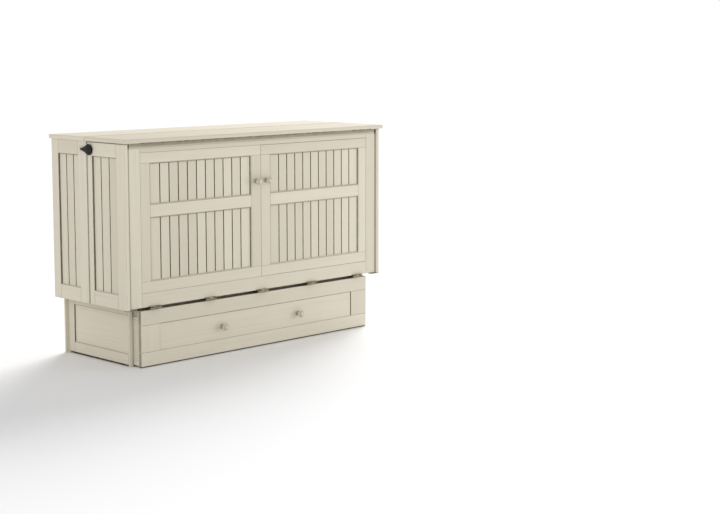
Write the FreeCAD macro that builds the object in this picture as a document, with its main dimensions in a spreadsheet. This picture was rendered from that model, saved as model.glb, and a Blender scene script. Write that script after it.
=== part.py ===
import FreeCAD, Part
import os
import Sketcher
from FreeCAD import Placement, Rotation, Vector

# Cabinet bed, closed. X runs along the front, Y to the back, Z up; millimetres.
# Lengths are taken from the middle of the front, the front edges of the side panels and the
# floor. Each finished sub-part is then moved forward by half the depth, so the frame's origin is
# the middle of the footprint.

os.makedirs("parts", exist_ok=True)
doc = FreeCAD.newDocument("cabinet_bed")
sheet = doc.addObject("Spreadsheet::Sheet", "size")

# ---------------------------------------------------------------- dimensions
# A number drives the shape; a formula follows from the numbers above it.
SIZES = (
    # top slab: front half is the lid, rear half is fixed
    ("top_half", 830.5),
    ("top_level", 1057.0),
    ("slab", 20.0),
    ("slab_low", "top_level - slab"),
    ("slab_round", 5.0),
    ("top_front", -20.0),
    ("top_split", 290.0),
    ("top_seam", 2.0),
    ("rear_over", 6.0),
    ("shell_rear", 571.0),
    ("top_rear", "shell_rear + rear_over"),
    # outer shell
    ("side_over", 12.5),
    ("side_out", "top_half - side_over"),
    ("side_thick", 19.0),
    ("shell_in", "side_out - side_thick"),
    ("side_low", 278.0),
    ("side_head_gap", 4.0),
    ("side_high", "slab_low - side_head_gap"),
    ("split_back", 8.0),
    ("side_split", "top_split - split_back"),
    ("split_gap", 10.0),
    ("aft_front", "side_split + split_gap"),
    ("back_thick", 12.0),
    ("back_front", "shell_rear - back_thick"),
    ("side_rail_high", 63.0),
    ("side_top_rail", "side_high - side_rail_high"),
    ("side_rail_low", 68.0),
    ("side_low_rail", "side_low + side_rail_low"),
    ("recess", 8.0),
    ("rebate", 6.0),
    # openings and grooves of the half sides, along y
    ("fore_open", 63.0),
    ("fore_stile", 35.0),
    ("fore_close", "side_split - fore_stile"),
    ("aft_stile", 65.0),
    ("aft_open", "aft_front + aft_stile"),
    ("rear_stile", 54.0),
    ("aft_close", "shell_rear - rear_stile"),
    ("fore_bead", 64.0),
    ("fore_groove", "fore_open + fore_bead"),
    ("fore_pitch", 62.0),
    ("aft_bead", 48.0),
    ("aft_groove", "aft_open + aft_bead"),
    ("aft_pitch", 57.0),
    # beadboard groove
    ("groove_half", 2.6),
    ("groove_deep", 2.6),
    ("groove_lead", 1.0),
    # front panel and its two fixed doors
    ("front_inset", 21.0),
    ("front_half", "side_out - front_inset"),
    ("front_face", 6.0),
    ("front_thick", 22.0),
    ("front_back", "front_face + front_thick"),
    ("front_lift", 7.0),
    ("front_low", "side_low + front_lift"),
    ("front_head_gap", 3.0),
    ("front_high", "slab_low - front_head_gap"),
    ("front_stile", 69.0),
    ("stile_in", "front_half - front_stile"),
    ("front_rail", 62.0),
    ("front_rail_low", "front_low + front_rail"),
    ("front_head_rail", 42.0),
    ("front_rail_high", "front_high - front_head_rail"),
    ("door_line", 1.5),
    ("door_in", 64.0),
    ("door_stile", 57.0),
    ("door_out", "stile_in - door_stile"),
    ("door_foot_rail", 55.0),
    ("door_low", "front_rail_low + door_foot_rail"),
    ("door_head_rail", 51.0),
    ("door_top", "front_rail_high - door_head_rail"),
    ("door_upper", 186.0),
    ("door_mid_high", "door_top - door_upper"),
    ("door_mid_rail", 63.0),
    ("door_mid_low", "door_mid_high - door_mid_rail"),
    ("door_bead", 3.0),
    ("door_end_bead", 60.0),
    ("door_groove", "door_in + door_end_bead"),
    ("door_last_groove", "door_out - door_end_bead"),
    ("deck_thick", 9.0),
    ("deck_rear", "front_back + deck_thick"),
    ("deck_head_gap", 6.5),
    ("deck_top", "front_high - deck_head_gap"),
    ("deck_inset", 7.0),
    ("deck_half", "front_half - deck_inset"),
    ("deck_lift", 5.0),
    ("deck_low", "front_low + deck_lift"),
    ("door_knob_mid", "(door_line + door_in) / 2"),
    ("door_knob_up", 63.0),
    ("door_knob_level", "door_mid_high + door_knob_up"),
    # base
    ("base_inset", 66.0),
    ("base_out", "side_out - base_inset"),
    ("base_thick", 15.0),
    ("base_in", "base_out - base_thick"),
    ("base_front", 61.0),
    ("base_post", 12.0),
    ("base_rear_stile", 49.0),
    ("base_stile", "back_front - base_rear_stile"),
    ("deck_step", 19.0),
    ("base_top", "side_low + deck_step"),
    ("base_rail_low", 58.0),
    ("base_head_rail", 56.0),
    ("base_rail_high", "base_top - base_head_rail"),
    ("base_recess", 6.0),
    ("foot_lift", 12.0),
    ("foot_wide", 14.0),
    ("back_low_over", 16.0),
    ("back_low_half", "base_out + back_low_over"),
    ("rail_thick", 19.0),
    ("rail_front", "base_front - rail_thick"),
    ("rail_deep", 61.0),
    ("rail_low", "base_top - rail_deep"),
    ("platform", 18.0),
    ("platform_nose", 1.0),
    ("platform_side_gap", 3.0),
    ("batten", 18.0),
    ("batten_high", 36.0),
    ("back_stile", 70.0),
    ("back_recess", 4.0),
    # drawer
    ("drawer_side_gap", 4.0),
    ("drawer_half", "base_in - drawer_side_gap"),
    ("drawer_face", 12.0),
    ("drawer_thick", 19.0),
    ("drawer_low", 6.0),
    ("drawer_head_gap", 35.0),
    ("drawer_high", "base_top - drawer_head_gap"),
    ("drawer_side_rail", 109.0),
    ("drawer_stile", "drawer_half - drawer_side_rail"),
    ("drawer_foot_rail", 64.0),
    ("drawer_rail_low", "drawer_low + drawer_foot_rail"),
    ("drawer_head_rail", 65.0),
    ("drawer_rail_high", "drawer_high - drawer_head_rail"),
    ("drawer_recess", 4.0),
    ("box_side_gap", 6.0),
    ("box_out", "base_in - box_side_gap"),
    ("box_wall", 18.0),
    ("box_low", 30.0),
    ("box_head_gap", 14.0),
    ("box_high", "rail_low - box_head_gap"),
    ("box_rear_gap", 39.0),
    ("box_rear", "back_front - box_rear_gap"),
    ("box_floor_up", 8.0),
    ("box_floor", "box_low + box_floor_up"),
    ("box_floor_thick", 8.0),
    ("drawer_knob_end", 486.0),
    ("drawer_knob_out", "drawer_half - drawer_knob_end"),
    ("drawer_knob_up", 125.0),
    ("drawer_knob_level", "drawer_low + drawer_knob_up"),
    ("runner_wide", 28.0),
    ("runner_slip", 0.3),
    ("runner_gap", 14.0),
    ("runner_front", "base_front + runner_gap"),
    ("runner_rear", "back_front - runner_gap"),
    # turned knob
    ("knob_foot", 11.0),
    ("knob_neck", 7.5),
    ("knob_head", 17.0),
    ("knob_long", 38.0),
    ("knob_bevel", 3.2),
    # bottom hinges of the front panel
    ("fold_y", -3.0),
    ("fold_drop", 10.0),
    ("fold_z", "front_low - fold_drop"),
    ("fold_knuckle", 5.0),
    ("fold_wide", 66.0),
    ("fold_end", 139.0),
    ("fold_far", "front_half - fold_end"),
    ("fold_near", "fold_far / 2"),
    ("leaf", 3.0),
    ("strap_leg", 33.0),
    ("leaf_back", 3.0),
    ("fold_leaf_rear", "deck_rear - leaf_back"),
    ("leaf_web_half", 3.0),
    ("fold_relief", 7.0),
    ("knuckle_gap", 0.6),
    ("bore_slack", 0.3),
    # pivots of the side panels
    ("pivot_out", "side_out - side_thick / 2"),
    ("pivot_y", 5.0),
    ("pivot_pin", 3.0),
    ("pivot_hole", 3.4),
    ("pivot_plate", 2.0),
    ("pivot_slip", 0.5),
    ("pivot_reach", 49.0),
    ("pivot_in", "front_half - pivot_reach"),
    ("pivot_low_reach", 32.0),
    ("pivot_low_in", "front_half - pivot_low_reach"),
    ("pivot_deep", 15.0),
    ("pivot_root", 1.5),
    ("pivot_edge", 1.0),
    ("pivot_tip", "side_out - pivot_edge"),
    ("pivot_tail", "front_back - pivot_edge"),
    ("block_inset", 3.0),
    # lid hinge
    ("lid_y", -17.0),
    ("lid_rise", 0.4),
    ("lid_z", "slab_low + lid_rise"),
    ("lid_knuckle", 2.7),
    ("lid_end_gap", 4.0),
    ("lid_half", "pivot_in - lid_end_gap"),
    ("lid_leaf", 1.3),
    ("lid_seat", 0.1),
    ("lid_leaf_rear", 17.0),
    ("lid_leaf_more", 10.0),
    ("lid_web", 3.0),
    ("lid_neck_half", 1.0),
    ("lid_leaf_back", 2.0),
    ("lid_zone_half", 4.0),
    ("lid_zone_low", 6.0),
    ("lid_slack", 0.4),
    ("lid_slack_wide", 0.7),
    ("lid_rebate_back", 3.6),
    ("lid_rebate_rear", "lid_y + lid_rebate_back"),
    ("lid_rebate_up", 3.7),
    ("lid_rebate_high", "slab_low + lid_rebate_up"),
    ("lid_rebate_over", 2.0),
    # folding foot section
    ("foot_inset", 59.0),
    ("foot_half", "front_half - foot_inset"),
    ("foot_gap", 0.5),
    ("foot_face", "deck_rear + foot_gap"),
    ("foot_edge", "deck_top - foot_gap"),
    ("foot_tip_gap", 51.0),
    ("foot_tip", "base_top + platform + foot_tip_gap"),
    ("foot_y", "deck_rear + foot_gap / 2"),
    ("foot_rise", 4.0),
    ("foot_z", "foot_edge + foot_rise"),
    ("foot_knuckle", 2.6),
    ("foot_hinge_wide", 70.0),
    ("foot_hinge_end", 138.0),
    ("foot_hinge_far", "foot_half - foot_hinge_end"),
    ("foot_hinge_near", "foot_hinge_far / 3"),
    ("foot_leaf", 1.0),
    ("foot_leaf_half", 1.3),
    ("foot_leaf_short", 4.4),
    ("foot_web", 1.6),
    ("slot_wide", 24.0),
    ("slot_margin", 74.0),
    ("slot_low", "foot_tip + slot_margin"),
    ("slot_long", 290.0),
    ("slot_high", "slot_low + slot_long"),
    ("slot_step", "foot_half * 2 / 9"),
    ("cleat_thick", 33.0),
    ("cleat_end", 17.0),
    ("cleat_high", "foot_edge - cleat_end"),
    ("cleat_long", 220.0),
    ("cleat_low", "cleat_high - cleat_long"),
    ("cleat_wide", 60.0),
    ("cleat_inset", 318.0),
    ("cleat_mid", "foot_half - cleat_inset"),
    # folding legs
    ("leg_inset", 138.0),
    ("leg_mid", "foot_half - leg_inset"),
    ("leg_wide", 45.0),
    ("leg_thick", 34.0),
    ("leg_up", 60.0),
    ("leg_level", "foot_tip + leg_up"),
    ("leg_off", 20.0),
    ("leg_deep", "foot_face + platform + leg_off"),
    ("leg_floor_gap", 3.0),
    ("leg_long", "fold_z - fold_y + foot_y * 2 - leg_deep - leg_floor_gap"),
    ("leg_bar_low", 190.0),
    ("leg_bar", 45.0),
    ("leg_bar_high", "leg_bar_low + leg_bar"),
    ("leg_round", 16.5),
    ("leg_pin", 4.0),
    ("leg_hole", 4.4),
    ("cheek_thick", 3.0),
    ("cheek_half", 15.0),
    ("cheek_tail", 9.0),
    ("leg_side_gap", 0.8),
    # side latch
    ("latch_inset", 19.5),
    ("latch_y", "side_split - latch_inset"),
    ("latch_drop", 34.0),
    ("latch_z", "side_high - latch_drop"),
    ("latch_plate", 4.0),
    ("latch_foot", 19.0),
    ("latch_slip", 0.4),
    ("latch_hub", 28.0),
    ("latch_thick", 10.0),
    ("latch_tail_thick", 7.0),
    ("latch_bevel", 2.0),
    ("latch_tail", 75.5),
    ("latch_tip", "latch_y + latch_tail"),
    ("latch_root_half", 23.0),
    ("latch_tip_half", 7.0),
    ("latch_cap", 9.0),
    ("latch_cap_high", 3.0),
    ("keeper_step", 8.0),
    ("keeper_front", "aft_front + keeper_step"),
    ("keeper_long", 44.0),
    ("keeper_rear", "keeper_front + keeper_long"),
    ("keeper_half", 13.0),
    ("keeper_thick", 2.6),
)


class Dim:
    """A length held both as a number and as a formula on the size sheet."""

    def __init__(self, value, text):
        self.value = float(value)
        self.text = text

    def __add__(self, other):
        other = dim(other)
        return Dim(self.value + other.value, "(" + self.text + " + " + other.text + ")")

    def __sub__(self, other):
        other = dim(other)
        return Dim(self.value - other.value, "(" + self.text + " - " + other.text + ")")

    def __mul__(self, factor):
        return Dim(self.value * factor, "(" + self.text + " * " + str(factor) + ")")

    def __truediv__(self, factor):
        return Dim(self.value / factor, "(" + self.text + " / " + str(factor) + ")")

    def __neg__(self):
        return Dim(-self.value, "(0 mm - " + self.text + ")")


def dim(value):
    """Turns a plain number into a length with its own formula."""
    if isinstance(value, Dim):
        return value
    return Dim(value, "(" + str(value) + " mm)")


class Sizes:
    """Every named size as an attribute."""


def fill_sheet():
    """Writes the dimensions to the sheet and returns them as lengths."""
    for row, (alias, value) in enumerate(SIZES, start=1):
        formula = isinstance(value, str)
        sheet.set("A" + str(row), alias)
        sheet.set("B" + str(row), "=" + value if formula else str(value))
        sheet.setAlias("B" + str(row), alias)
    doc.recompute()
    named = Sizes()
    for alias, _ in SIZES:
        setattr(named, alias, Dim(sheet.get(alias), "(size." + alias + " * 1 mm)"))
    return named


size = fill_sheet()
FLOOR = dim(0)
SIDES = (("left", -1), ("right", 1))
SIDE_GROOVE_COUNT = 2
DOOR_GROOVE_COUNT = 10
LID_KNUCKLE_COUNT = 8
FOOT_SLOT_COUNT = 9
PIN_SHARE = 0.4
# shares of a knob's length
KNOB_FOOT_END = 0.08
KNOB_NECK_START = 0.22
KNOB_NECK_END = 0.45
KNOB_HEAD_START = 0.62
KNOB_HEAD_END = 0.84
MIDDLE = (size.top_rear + size.front_face - size.knob_long) / 2
finished = []
placed = {}


# ---------------------------------------------------------------- helpers
def bind(obj, prop, length):
    obj.setExpression(prop, dim(length).text)


def place(obj, base, rotation=None):
    """Gives an object its own placement from three lengths."""
    if rotation is not None:
        obj.Placement = Placement(Vector(0, 0, 0), rotation)
    for axis, length in zip("xyz", base):
        bind(obj, "Placement.Base." + axis, length)
    placed[obj.Name] = base


def finish(obj, label):
    """Names a sub-part, sets it in the frame and puts it on the list of sub-parts."""
    obj.Label = label
    base = placed.get(obj.Name, (0, 0, 0))
    bind(obj, "Placement.Base.y", dim(base[1]) - MIDDLE)
    finished.append((label, obj))
    return obj


def outward(sign, near, far):
    """An x range on the left (-1) or the right (1), low end first."""
    near, far = dim(near), dim(far)
    return (-far, -near) if sign < 0 else (near, far)


def box(name, low, high):
    """A block between two corners."""
    block = doc.addObject("Part::Box", name)
    low = [dim(v) for v in low]
    high = [dim(v) for v in high]
    for prop, start, end in zip(("Length", "Width", "Height"), low, high):
        bind(block, prop, end - start)
    place(block, low)
    return block


TURN = {"x": Rotation(Vector(0, 1, 0), 90), "y": Rotation(Vector(1, 0, 0), -90), "z": Rotation()}


def rod(name, axis, start, radius, length):
    """A round bar from its start point along +X, +Y or +Z."""
    bar = doc.addObject("Part::Cylinder", name)
    bind(bar, "Radius", radius)
    bind(bar, "Height", length)
    place(bar, start, TURN[axis])
    return bar


def fuse(name, pieces):
    joined = doc.addObject("Part::MultiFuse", name)
    joined.Shapes = pieces
    joined.Refine = True
    return joined


def cut(name, base, tool):
    remainder = doc.addObject("Part::Cut", name)
    remainder.Base = base
    remainder.Tool = tool
    return remainder


def new_body(label, base):
    body = doc.addObject("PartDesign::Body", label)
    place(body, base)
    return finish(body, label)


def new_sketch(body, role, lift=None):
    """A sketch on one of the body's own origin planes, lifted along its normal."""
    plane = [f for f in body.Origin.OriginFeatures if f.Role == role][0]
    drawn = body.newObject("Sketcher::SketchObject", "sketch")
    drawn.AttachmentSupport = [(plane, "")]
    drawn.MapMode = "FlatFace"
    if lift is not None:
        bind(drawn, "AttachmentOffset.Base.z", lift)
    return drawn


def pin_point(drawn, line, u, v):
    """Holds the start of a line at (u, v)."""
    for kind, axis, length in (("DistanceX", -2, dim(u)), ("DistanceY", -1, dim(v))):
        if length.value == 0.0:
            drawn.addConstraint(Sketcher.Constraint("PointOnObject", line, 1, axis))
            continue
        index = drawn.addConstraint(Sketcher.Constraint(kind, -1, 1, line, 1, length.value))
        bind(drawn, "Constraints[" + str(index) + "]", length)


def outline(drawn, points):
    """A closed run of straight lines through the points."""
    first = drawn.GeometryCount
    count = len(points)
    spots = [Vector(dim(u).value, dim(v).value, 0) for u, v in points]
    for k in range(count):
        drawn.addGeometry(Part.LineSegment(spots[k], spots[(k + 1) % count]), False)
    for k in range(count):
        after = first + (k + 1) % count
        drawn.addConstraint(Sketcher.Constraint("Coincident", first + k, 2, after, 1))
    for k, (u, v) in enumerate(points):
        pin_point(drawn, first + k, u, v)


def rectangle(drawn, u_range, v_range):
    (u0, u1), (v0, v1) = u_range, v_range
    outline(drawn, ((u0, v0), (u1, v0), (u1, v1), (u0, v1)))


def circle(drawn, u, v, radius):
    u, v, radius = dim(u), dim(v), dim(radius)
    ring = Part.Circle(Vector(u.value, v.value, 0), Vector(0, 0, 1), radius.value)
    line = drawn.addGeometry(ring, False)
    for kind, length in (("DistanceX", u), ("DistanceY", v)):
        index = drawn.addConstraint(Sketcher.Constraint(kind, -1, 1, line, 3, length.value))
        bind(drawn, "Constraints[" + str(index) + "]", length)
    index = drawn.addConstraint(Sketcher.Constraint("Radius", line, radius.value))
    bind(drawn, "Constraints[" + str(index) + "]", radius)


def pad(body, drawn, length, back=False):
    grown = body.newObject("PartDesign::Pad", "pad")
    grown.Profile = drawn
    bind(grown, "Length", length)
    grown.Reversed = back
    body.Tip = grown
    doc.recompute()
    return grown


def pocket(body, drawn, length=None):
    """Cuts the sketch out, turning the cut round if it removes nothing."""
    before = body.Shape.Volume
    taken = body.newObject("PartDesign::Pocket", "pocket")
    taken.Profile = drawn
    if length is None:
        taken.Type = "ThroughAll"
    else:
        bind(taken, "Length", length)
    body.Tip = taken
    doc.recompute()
    if taken.Shape.isNull() or before - taken.Shape.Volume < 1e-3:
        taken.Reversed = True
        doc.recompute()
    return taken


def repeat(body, feature, role, length, count):
    """Repeats a cut along one of the body's own axes."""
    axis = [f for f in body.Origin.OriginFeatures if f.Role == role][0]
    row = body.newObject("PartDesign::LinearPattern", "row")
    row.Originals = [feature]
    row.Direction = (axis, [""])
    bind(row, "Length", length)
    row.Occurrences = count
    body.Tip = row
    doc.recompute()
    return row


def dress(body, kind, amount, wanted):
    """Rounds or bevels the edges for which wanted(centre, edge) holds."""
    under = body.Tip
    names = []
    for k, edge in enumerate(under.Shape.Edges, start=1):
        if wanted(edge.CenterOfMass, edge):
            names.append("Edge" + str(k))
    dressed = body.newObject("PartDesign::" + kind, kind.lower())
    dressed.Base = (under, names)
    bind(dressed, "Radius" if kind == "Fillet" else "Size", amount)
    body.Tip = dressed
    doc.recompute()
    return dressed


def near(a, b):
    return abs(a - dim(b).value) < 0.05


# A board faces the front (-Y), the left (-X) or the right (+X). Its sketch lies on its show
# face, and "back" tells whether the thickness grows against the sketch normal.
FACING = {
    "front": ("XZ_Plane", True, (1, 0)),
    "left": ("YZ_Plane", False, (0, 1)),
    "right": ("YZ_Plane", True, (0, -1)),
}


def board(label, facing, face, u_range, v_range, thick, openings=()):
    """A board or frame with its show face at "face"; openings are (u range, v range)."""
    role, back, (on_y, _) = FACING[facing]
    base = (0, face, 0) if on_y else (face, 0, 0)
    body = new_body(label, base)
    drawn = new_sketch(body, role)
    rectangle(drawn, u_range, v_range)
    for hole_u, hole_v in openings:
        rectangle(drawn, hole_u, hole_v)
    pad(body, drawn, thick, back)
    return body


def rebate(body, facing, thick, u_range, v_range, deep):
    """A step cut in the hidden face, which the infill board sits in."""
    role, back, _ = FACING[facing]
    drawn = new_sketch(body, role, -dim(thick) if back else thick)
    grow = size.rebate
    rectangle(drawn, (u_range[0] - grow, u_range[1] + grow), (v_range[0] - grow, v_range[1] + grow))
    pocket(body, drawn, deep)


def grooves(body, facing, first, pitch, count):
    """Upright V grooves in the show face, one pitch apart."""
    _, _, (on_y, inward) = FACING[facing]
    half = size.groove_half + size.groove_lead
    deep = size.groove_deep
    lead = size.groove_lead
    drawn = new_sketch(body, "XY_Plane")
    if on_y:
        outline(drawn, ((first - half, -lead), (first + half, -lead), (first, deep)))
    elif inward > 0:
        outline(drawn, ((-lead, first - half), (-lead, first + half), (deep, first)))
    else:
        outline(drawn, ((lead, first - half), (lead, first + half), (-deep, first)))
    one = pocket(body, drawn)
    repeat(body, one, "X_Axis" if on_y else "Y_Axis", dim(pitch) * (count - 1), count)


def pin_holes(body, face_x, x, y):
    """Blind holes for the pivot pins, up from the bottom edge and down from the top edge."""
    local_x = dim(x) - dim(face_x)
    for level in (size.side_low, size.side_high):
        drawn = new_sketch(body, "XY_Plane", level)
        circle(drawn, local_x, y, size.pivot_hole)
        pocket(body, drawn, size.pivot_deep + size.pivot_slip)


def half_side(label, side, sign, y_range, open_range, z_high):
    """One side frame: stiles and rails round a recessed beadboard."""
    face = size.side_out * sign
    z_range = (size.side_low, z_high)
    hole = (open_range, (size.side_low_rail, size.side_top_rail))
    body = board(label, side, face, y_range, z_range, size.side_thick, (hole,))
    rebate(body, side, size.side_thick, hole[0], hole[1], size.side_thick - size.recess)
    return body


def side_board(label, side, sign, open_range, first, pitch, count):
    """The beadboard that fills a side frame."""
    face = (size.side_out - size.recess) * sign
    grow = size.rebate
    u_range = (open_range[0] - grow, open_range[1] + grow)
    v_range = (size.side_low_rail - grow, size.side_top_rail + grow)
    body = board(label, side, face, u_range, v_range, size.side_thick - size.recess)
    grooves(body, side, first, pitch, count)


def knob(label, x, face, z):
    """A turned knob standing out of the front."""
    body = new_body(label, (x, face, z))
    foot, neck, head, far = size.knob_foot, size.knob_neck, size.knob_head, size.knob_long
    drawn = new_sketch(body, "XY_Plane")
    outline(drawn, (
        (FLOOR, FLOOR), (foot, FLOOR), (foot, -far * KNOB_FOOT_END), (neck, -far * KNOB_NECK_START),
        (neck, -far * KNOB_NECK_END), (head, -far * KNOB_HEAD_START), (head, -far * KNOB_HEAD_END),
        (head / 2, -far), (FLOOR, -far),
    ))
    turned = body.newObject("PartDesign::Revolution", "turning")
    turned.Profile = drawn
    turned.ReferenceAxis = (drawn, ["V_Axis"])
    turned.Angle = 360.0
    body.Tip = turned
    doc.recompute()
    wide = head.value
    dress(body, "Chamfer", size.knob_bevel,
          lambda c, e: hasattr(e.Curve, "Radius") and near(e.Curve.Radius, wide))


# ---------------------------------------------------------------- base
def build_base():
    inner = size.base_in
    back_front = size.back_front
    for side, sign in SIDES:
        face = size.base_out * sign
        body = new_body("base_side_frame_" + side, (face, 0, 0))
        front, rear = size.base_front, back_front
        lift, wide = size.foot_lift, size.foot_wide
        drawn = new_sketch(body, "YZ_Plane")
        outline(drawn, (
            (front, FLOOR), (front + wide, FLOOR), (front + wide, lift), (rear - wide, lift),
            (rear - wide, FLOOR), (rear, FLOOR), (rear, size.base_top), (front, size.base_top),
        ))
        open_y = (size.base_front + size.base_post, size.base_stile)
        open_z = (size.base_rail_low, size.base_rail_high)
        rectangle(drawn, open_y, open_z)
        pad(body, drawn, size.base_thick, sign > 0)
        deep = size.base_thick - size.base_recess
        rebate(body, side, size.base_thick, open_y, open_z, deep)
        grow = size.rebate
        panel_face = (size.base_out - size.base_recess) * sign
        board("base_side_panel_" + side, side, panel_face, (open_y[0] - grow, open_y[1] + grow),
              (open_z[0] - grow, open_z[1] + grow), deep)
        x_range = outward(sign, inner - size.runner_wide, inner)
        runner = box("drawer_runner_" + side, (x_range[0], size.runner_front, size.foot_lift),
                     (x_range[1], size.runner_rear, size.box_low - size.runner_slip))
        finish(runner, "drawer_runner_" + side)
    half = size.back_low_half
    finish(box("base_back", (-half, back_front, FLOOR), (half, size.shell_rear, size.side_low)),
           "base_back")
    finish(box("base_front_rail", (-inner, size.rail_front, size.rail_low),
               (inner, size.base_front, size.base_top)), "base_front_rail")
    body = new_body("base_deck", (0, 0, size.base_top))
    wide = size.shell_in
    slim = wide - size.platform_side_gap
    front = size.rail_front - size.platform_nose
    step = size.aft_front
    drawn = new_sketch(body, "XY_Plane")
    outline(drawn, (
        (-slim, front), (slim, front), (slim, step), (wide, step),
        (wide, back_front), (-wide, back_front), (-wide, step), (-slim, step),
    ))
    pad(body, drawn, size.platform)


# ---------------------------------------------------------------- rear shell
def slab_body(label, y_range, rounded):
    """Half of the top slab with its outer upper edges rounded."""
    body = new_body(label, (0, 0, size.slab_low))
    drawn = new_sketch(body, "XY_Plane")
    rectangle(drawn, (-size.top_half, size.top_half), y_range)
    pad(body, drawn, size.slab)
    half = size.top_half.value
    edge_y = rounded.value

    def outer(centre, edge):
        upright = abs(centre.z - size.slab.value / 2) < 0.1
        at_edge = near(centre.y, edge_y)
        at_end = near(abs(centre.x), half)
        if upright:
            return at_edge and at_end
        return near(centre.z, size.slab) and (at_edge or at_end)

    dress(body, "Fillet", size.slab_round, outer)
    return body


def build_rear_shell():
    start, top_low = size.aft_front, size.slab_low
    inner, back_front = size.shell_in, size.back_front
    for side, sign in SIDES:
        gap = (size.aft_open, size.aft_close)
        half_side("rear_side_frame_" + side, side, sign, (start, size.shell_rear), gap, top_low)
        side_board("rear_side_board_" + side, side, sign, gap, size.aft_groove, size.aft_pitch,
                   SIDE_GROOVE_COUNT)
        x_range = outward(sign, size.side_out, size.side_out + size.keeper_thick)
        low = (x_range[0], size.keeper_front, size.latch_z - size.keeper_half)
        high = (x_range[1], size.keeper_rear, size.latch_z + size.keeper_half)
        finish(box("latch_keeper_" + side, low, high), "latch_keeper_" + side)
    slab_body("rear_top", (size.top_split + size.top_seam, size.top_rear), size.top_rear)
    stile = size.back_stile
    middle = stile / 2
    z_range = (size.side_low, top_low)
    open_z = (size.side_low + stile, top_low - stile)
    open_left = (-inner + stile, -middle)
    open_right = (middle, inner - stile)
    frame = new_body("back_frame", (0, size.shell_rear, 0))
    drawn = new_sketch(frame, "XZ_Plane")
    rectangle(drawn, (-inner, inner), z_range)
    rectangle(drawn, open_left, open_z)
    rectangle(drawn, open_right, open_z)
    pad(frame, drawn, size.back_thick)
    grow = size.rebate
    step = new_sketch(frame, "XZ_Plane", size.back_thick)
    wide_x = (-inner + stile - grow, inner - stile + grow)
    rectangle(step, wide_x, (open_z[0] - grow, open_z[1] + grow))
    pocket(frame, step, size.back_thick - size.back_recess)
    infill = box("back_panel", (wide_x[0], back_front, open_z[0] - grow),
                 (wide_x[1], size.shell_rear - size.back_recess, open_z[1] + grow))
    finish(infill, "back_panel")
    batten = box("rear_top_batten", (-inner, back_front - size.batten, top_low - size.batten_high),
                 (inner, back_front, top_low))
    finish(batten, "rear_top_batten")


# ---------------------------------------------------------------- front panel
def build_front():
    half, face, thick = size.front_half, size.front_face, size.front_thick
    opening = ((-size.stile_in, size.stile_in), (size.front_rail_low, size.front_rail_high))
    tall = (size.front_low, size.front_high)
    board("front_frame", "front", face, (-half, half), tall, thick, (opening,))
    line = size.door_line
    door_z = (size.front_rail_low + line, size.front_rail_high - line)
    grow = size.rebate
    door_pitch = (size.door_last_groove - size.door_groove) / (DOOR_GROOVE_COUNT - 1)
    for side, sign in SIDES:
        edges = outward(sign, line, size.stile_in - line)
        clear = outward(sign, size.door_in, size.door_out)
        lower = (clear, (size.door_low, size.door_mid_low))
        upper = (clear, (size.door_mid_high, size.door_top))
        frame = board("door_frame_" + side, "front", face, edges, door_z, thick, (lower, upper))
        rebate(frame, "front", thick, clear, (size.door_low, size.door_top), thick - size.recess)

        def bead(centre, edge):
            at_face = near(centre.y, 0)
            at_side = near(centre.x, clear[0]) or near(centre.x, clear[1])
            levels = (size.door_low, size.door_mid_low, size.door_mid_high, size.door_top)
            at_level = any(near(centre.z, z) for z in levels)
            return at_face and (at_side or at_level)

        dress(frame, "Chamfer", size.door_bead, bead)
        infill = board("door_board_" + side, "front", face + size.recess,
                       (clear[0] - grow, clear[1] + grow), (size.door_low - grow, size.door_top + grow),
                       thick - size.recess)
        first = -size.door_last_groove if sign < 0 else size.door_groove
        grooves(infill, "front", first, door_pitch, DOOR_GROOVE_COUNT)
        knob("door_knob_" + side, size.door_knob_mid * sign, face, size.door_knob_level)
    deck = box("front_deck", (-size.deck_half, size.front_back, size.deck_low),
               (size.deck_half, size.deck_rear, size.deck_top))
    finish(deck, "front_deck")


def fold_hinges():
    """Five strap hinges under the front panel, straps on the base rail and leaves on the panel."""
    y, z, r = size.fold_y, size.fold_z, size.fold_knuckle
    pin, thin, under = r * PIN_SHARE, size.leaf_web_half, size.front_low
    third = size.fold_wide / 3
    gap = size.knuckle_gap
    straps, leaves = [], []
    spots = (-size.fold_far, -size.fold_near, dim(0), size.fold_near, size.fold_far)
    for k, x in enumerate(spots):
        left = x - size.fold_wide / 2
        right = x + size.fold_wide / 2
        inner_left, inner_right = left + third, right - third
        tag = str(k)
        low = z - r
        front = size.rail_front
        high = low + size.leaf
        strap = [
            box("strap_leg" + tag, (left, front - size.leaf, low - size.strap_leg), (right, front, high)),
            box("strap_mid" + tag, (left, y + size.fold_relief, low), (right, front, high)),
        ]
        for end, start in enumerate((left, inner_right)):
            stop = start + third
            strap.append(box("strap_arm" + tag + str(end), (start, y, low), (stop, front, high)))
            strap.append(rod("strap_eye" + tag + str(end), "x", (start, y, z), r, third))
        strap.append(rod("strap_pin" + tag, "x", (left, y, z), pin, size.fold_wide))
        straps.append(fuse("strap" + tag, strap))
        eye = rod("leaf_eye" + tag, "x", (inner_left + gap, y, z), r, third - gap * 2)
        web = box("leaf_web" + tag, (inner_left + gap, y - thin, z), (inner_right - gap, y + thin, under))
        plate = box("leaf_plate" + tag, (left, y - thin, under - size.leaf),
                    (right, size.fold_leaf_rear, under))
        bore = rod("leaf_bore" + tag, "x", (left, y, z), pin + size.bore_slack, size.fold_wide)
        leaves.append(cut("leaf_cut" + tag, fuse("leaf_solid" + tag, [eye, web, plate]), bore))
    finish(fuse("fold_hinge_straps", straps), "fold_hinge_straps")
    finish(fuse("fold_hinge_leaves", leaves), "fold_hinge_leaves")


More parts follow.
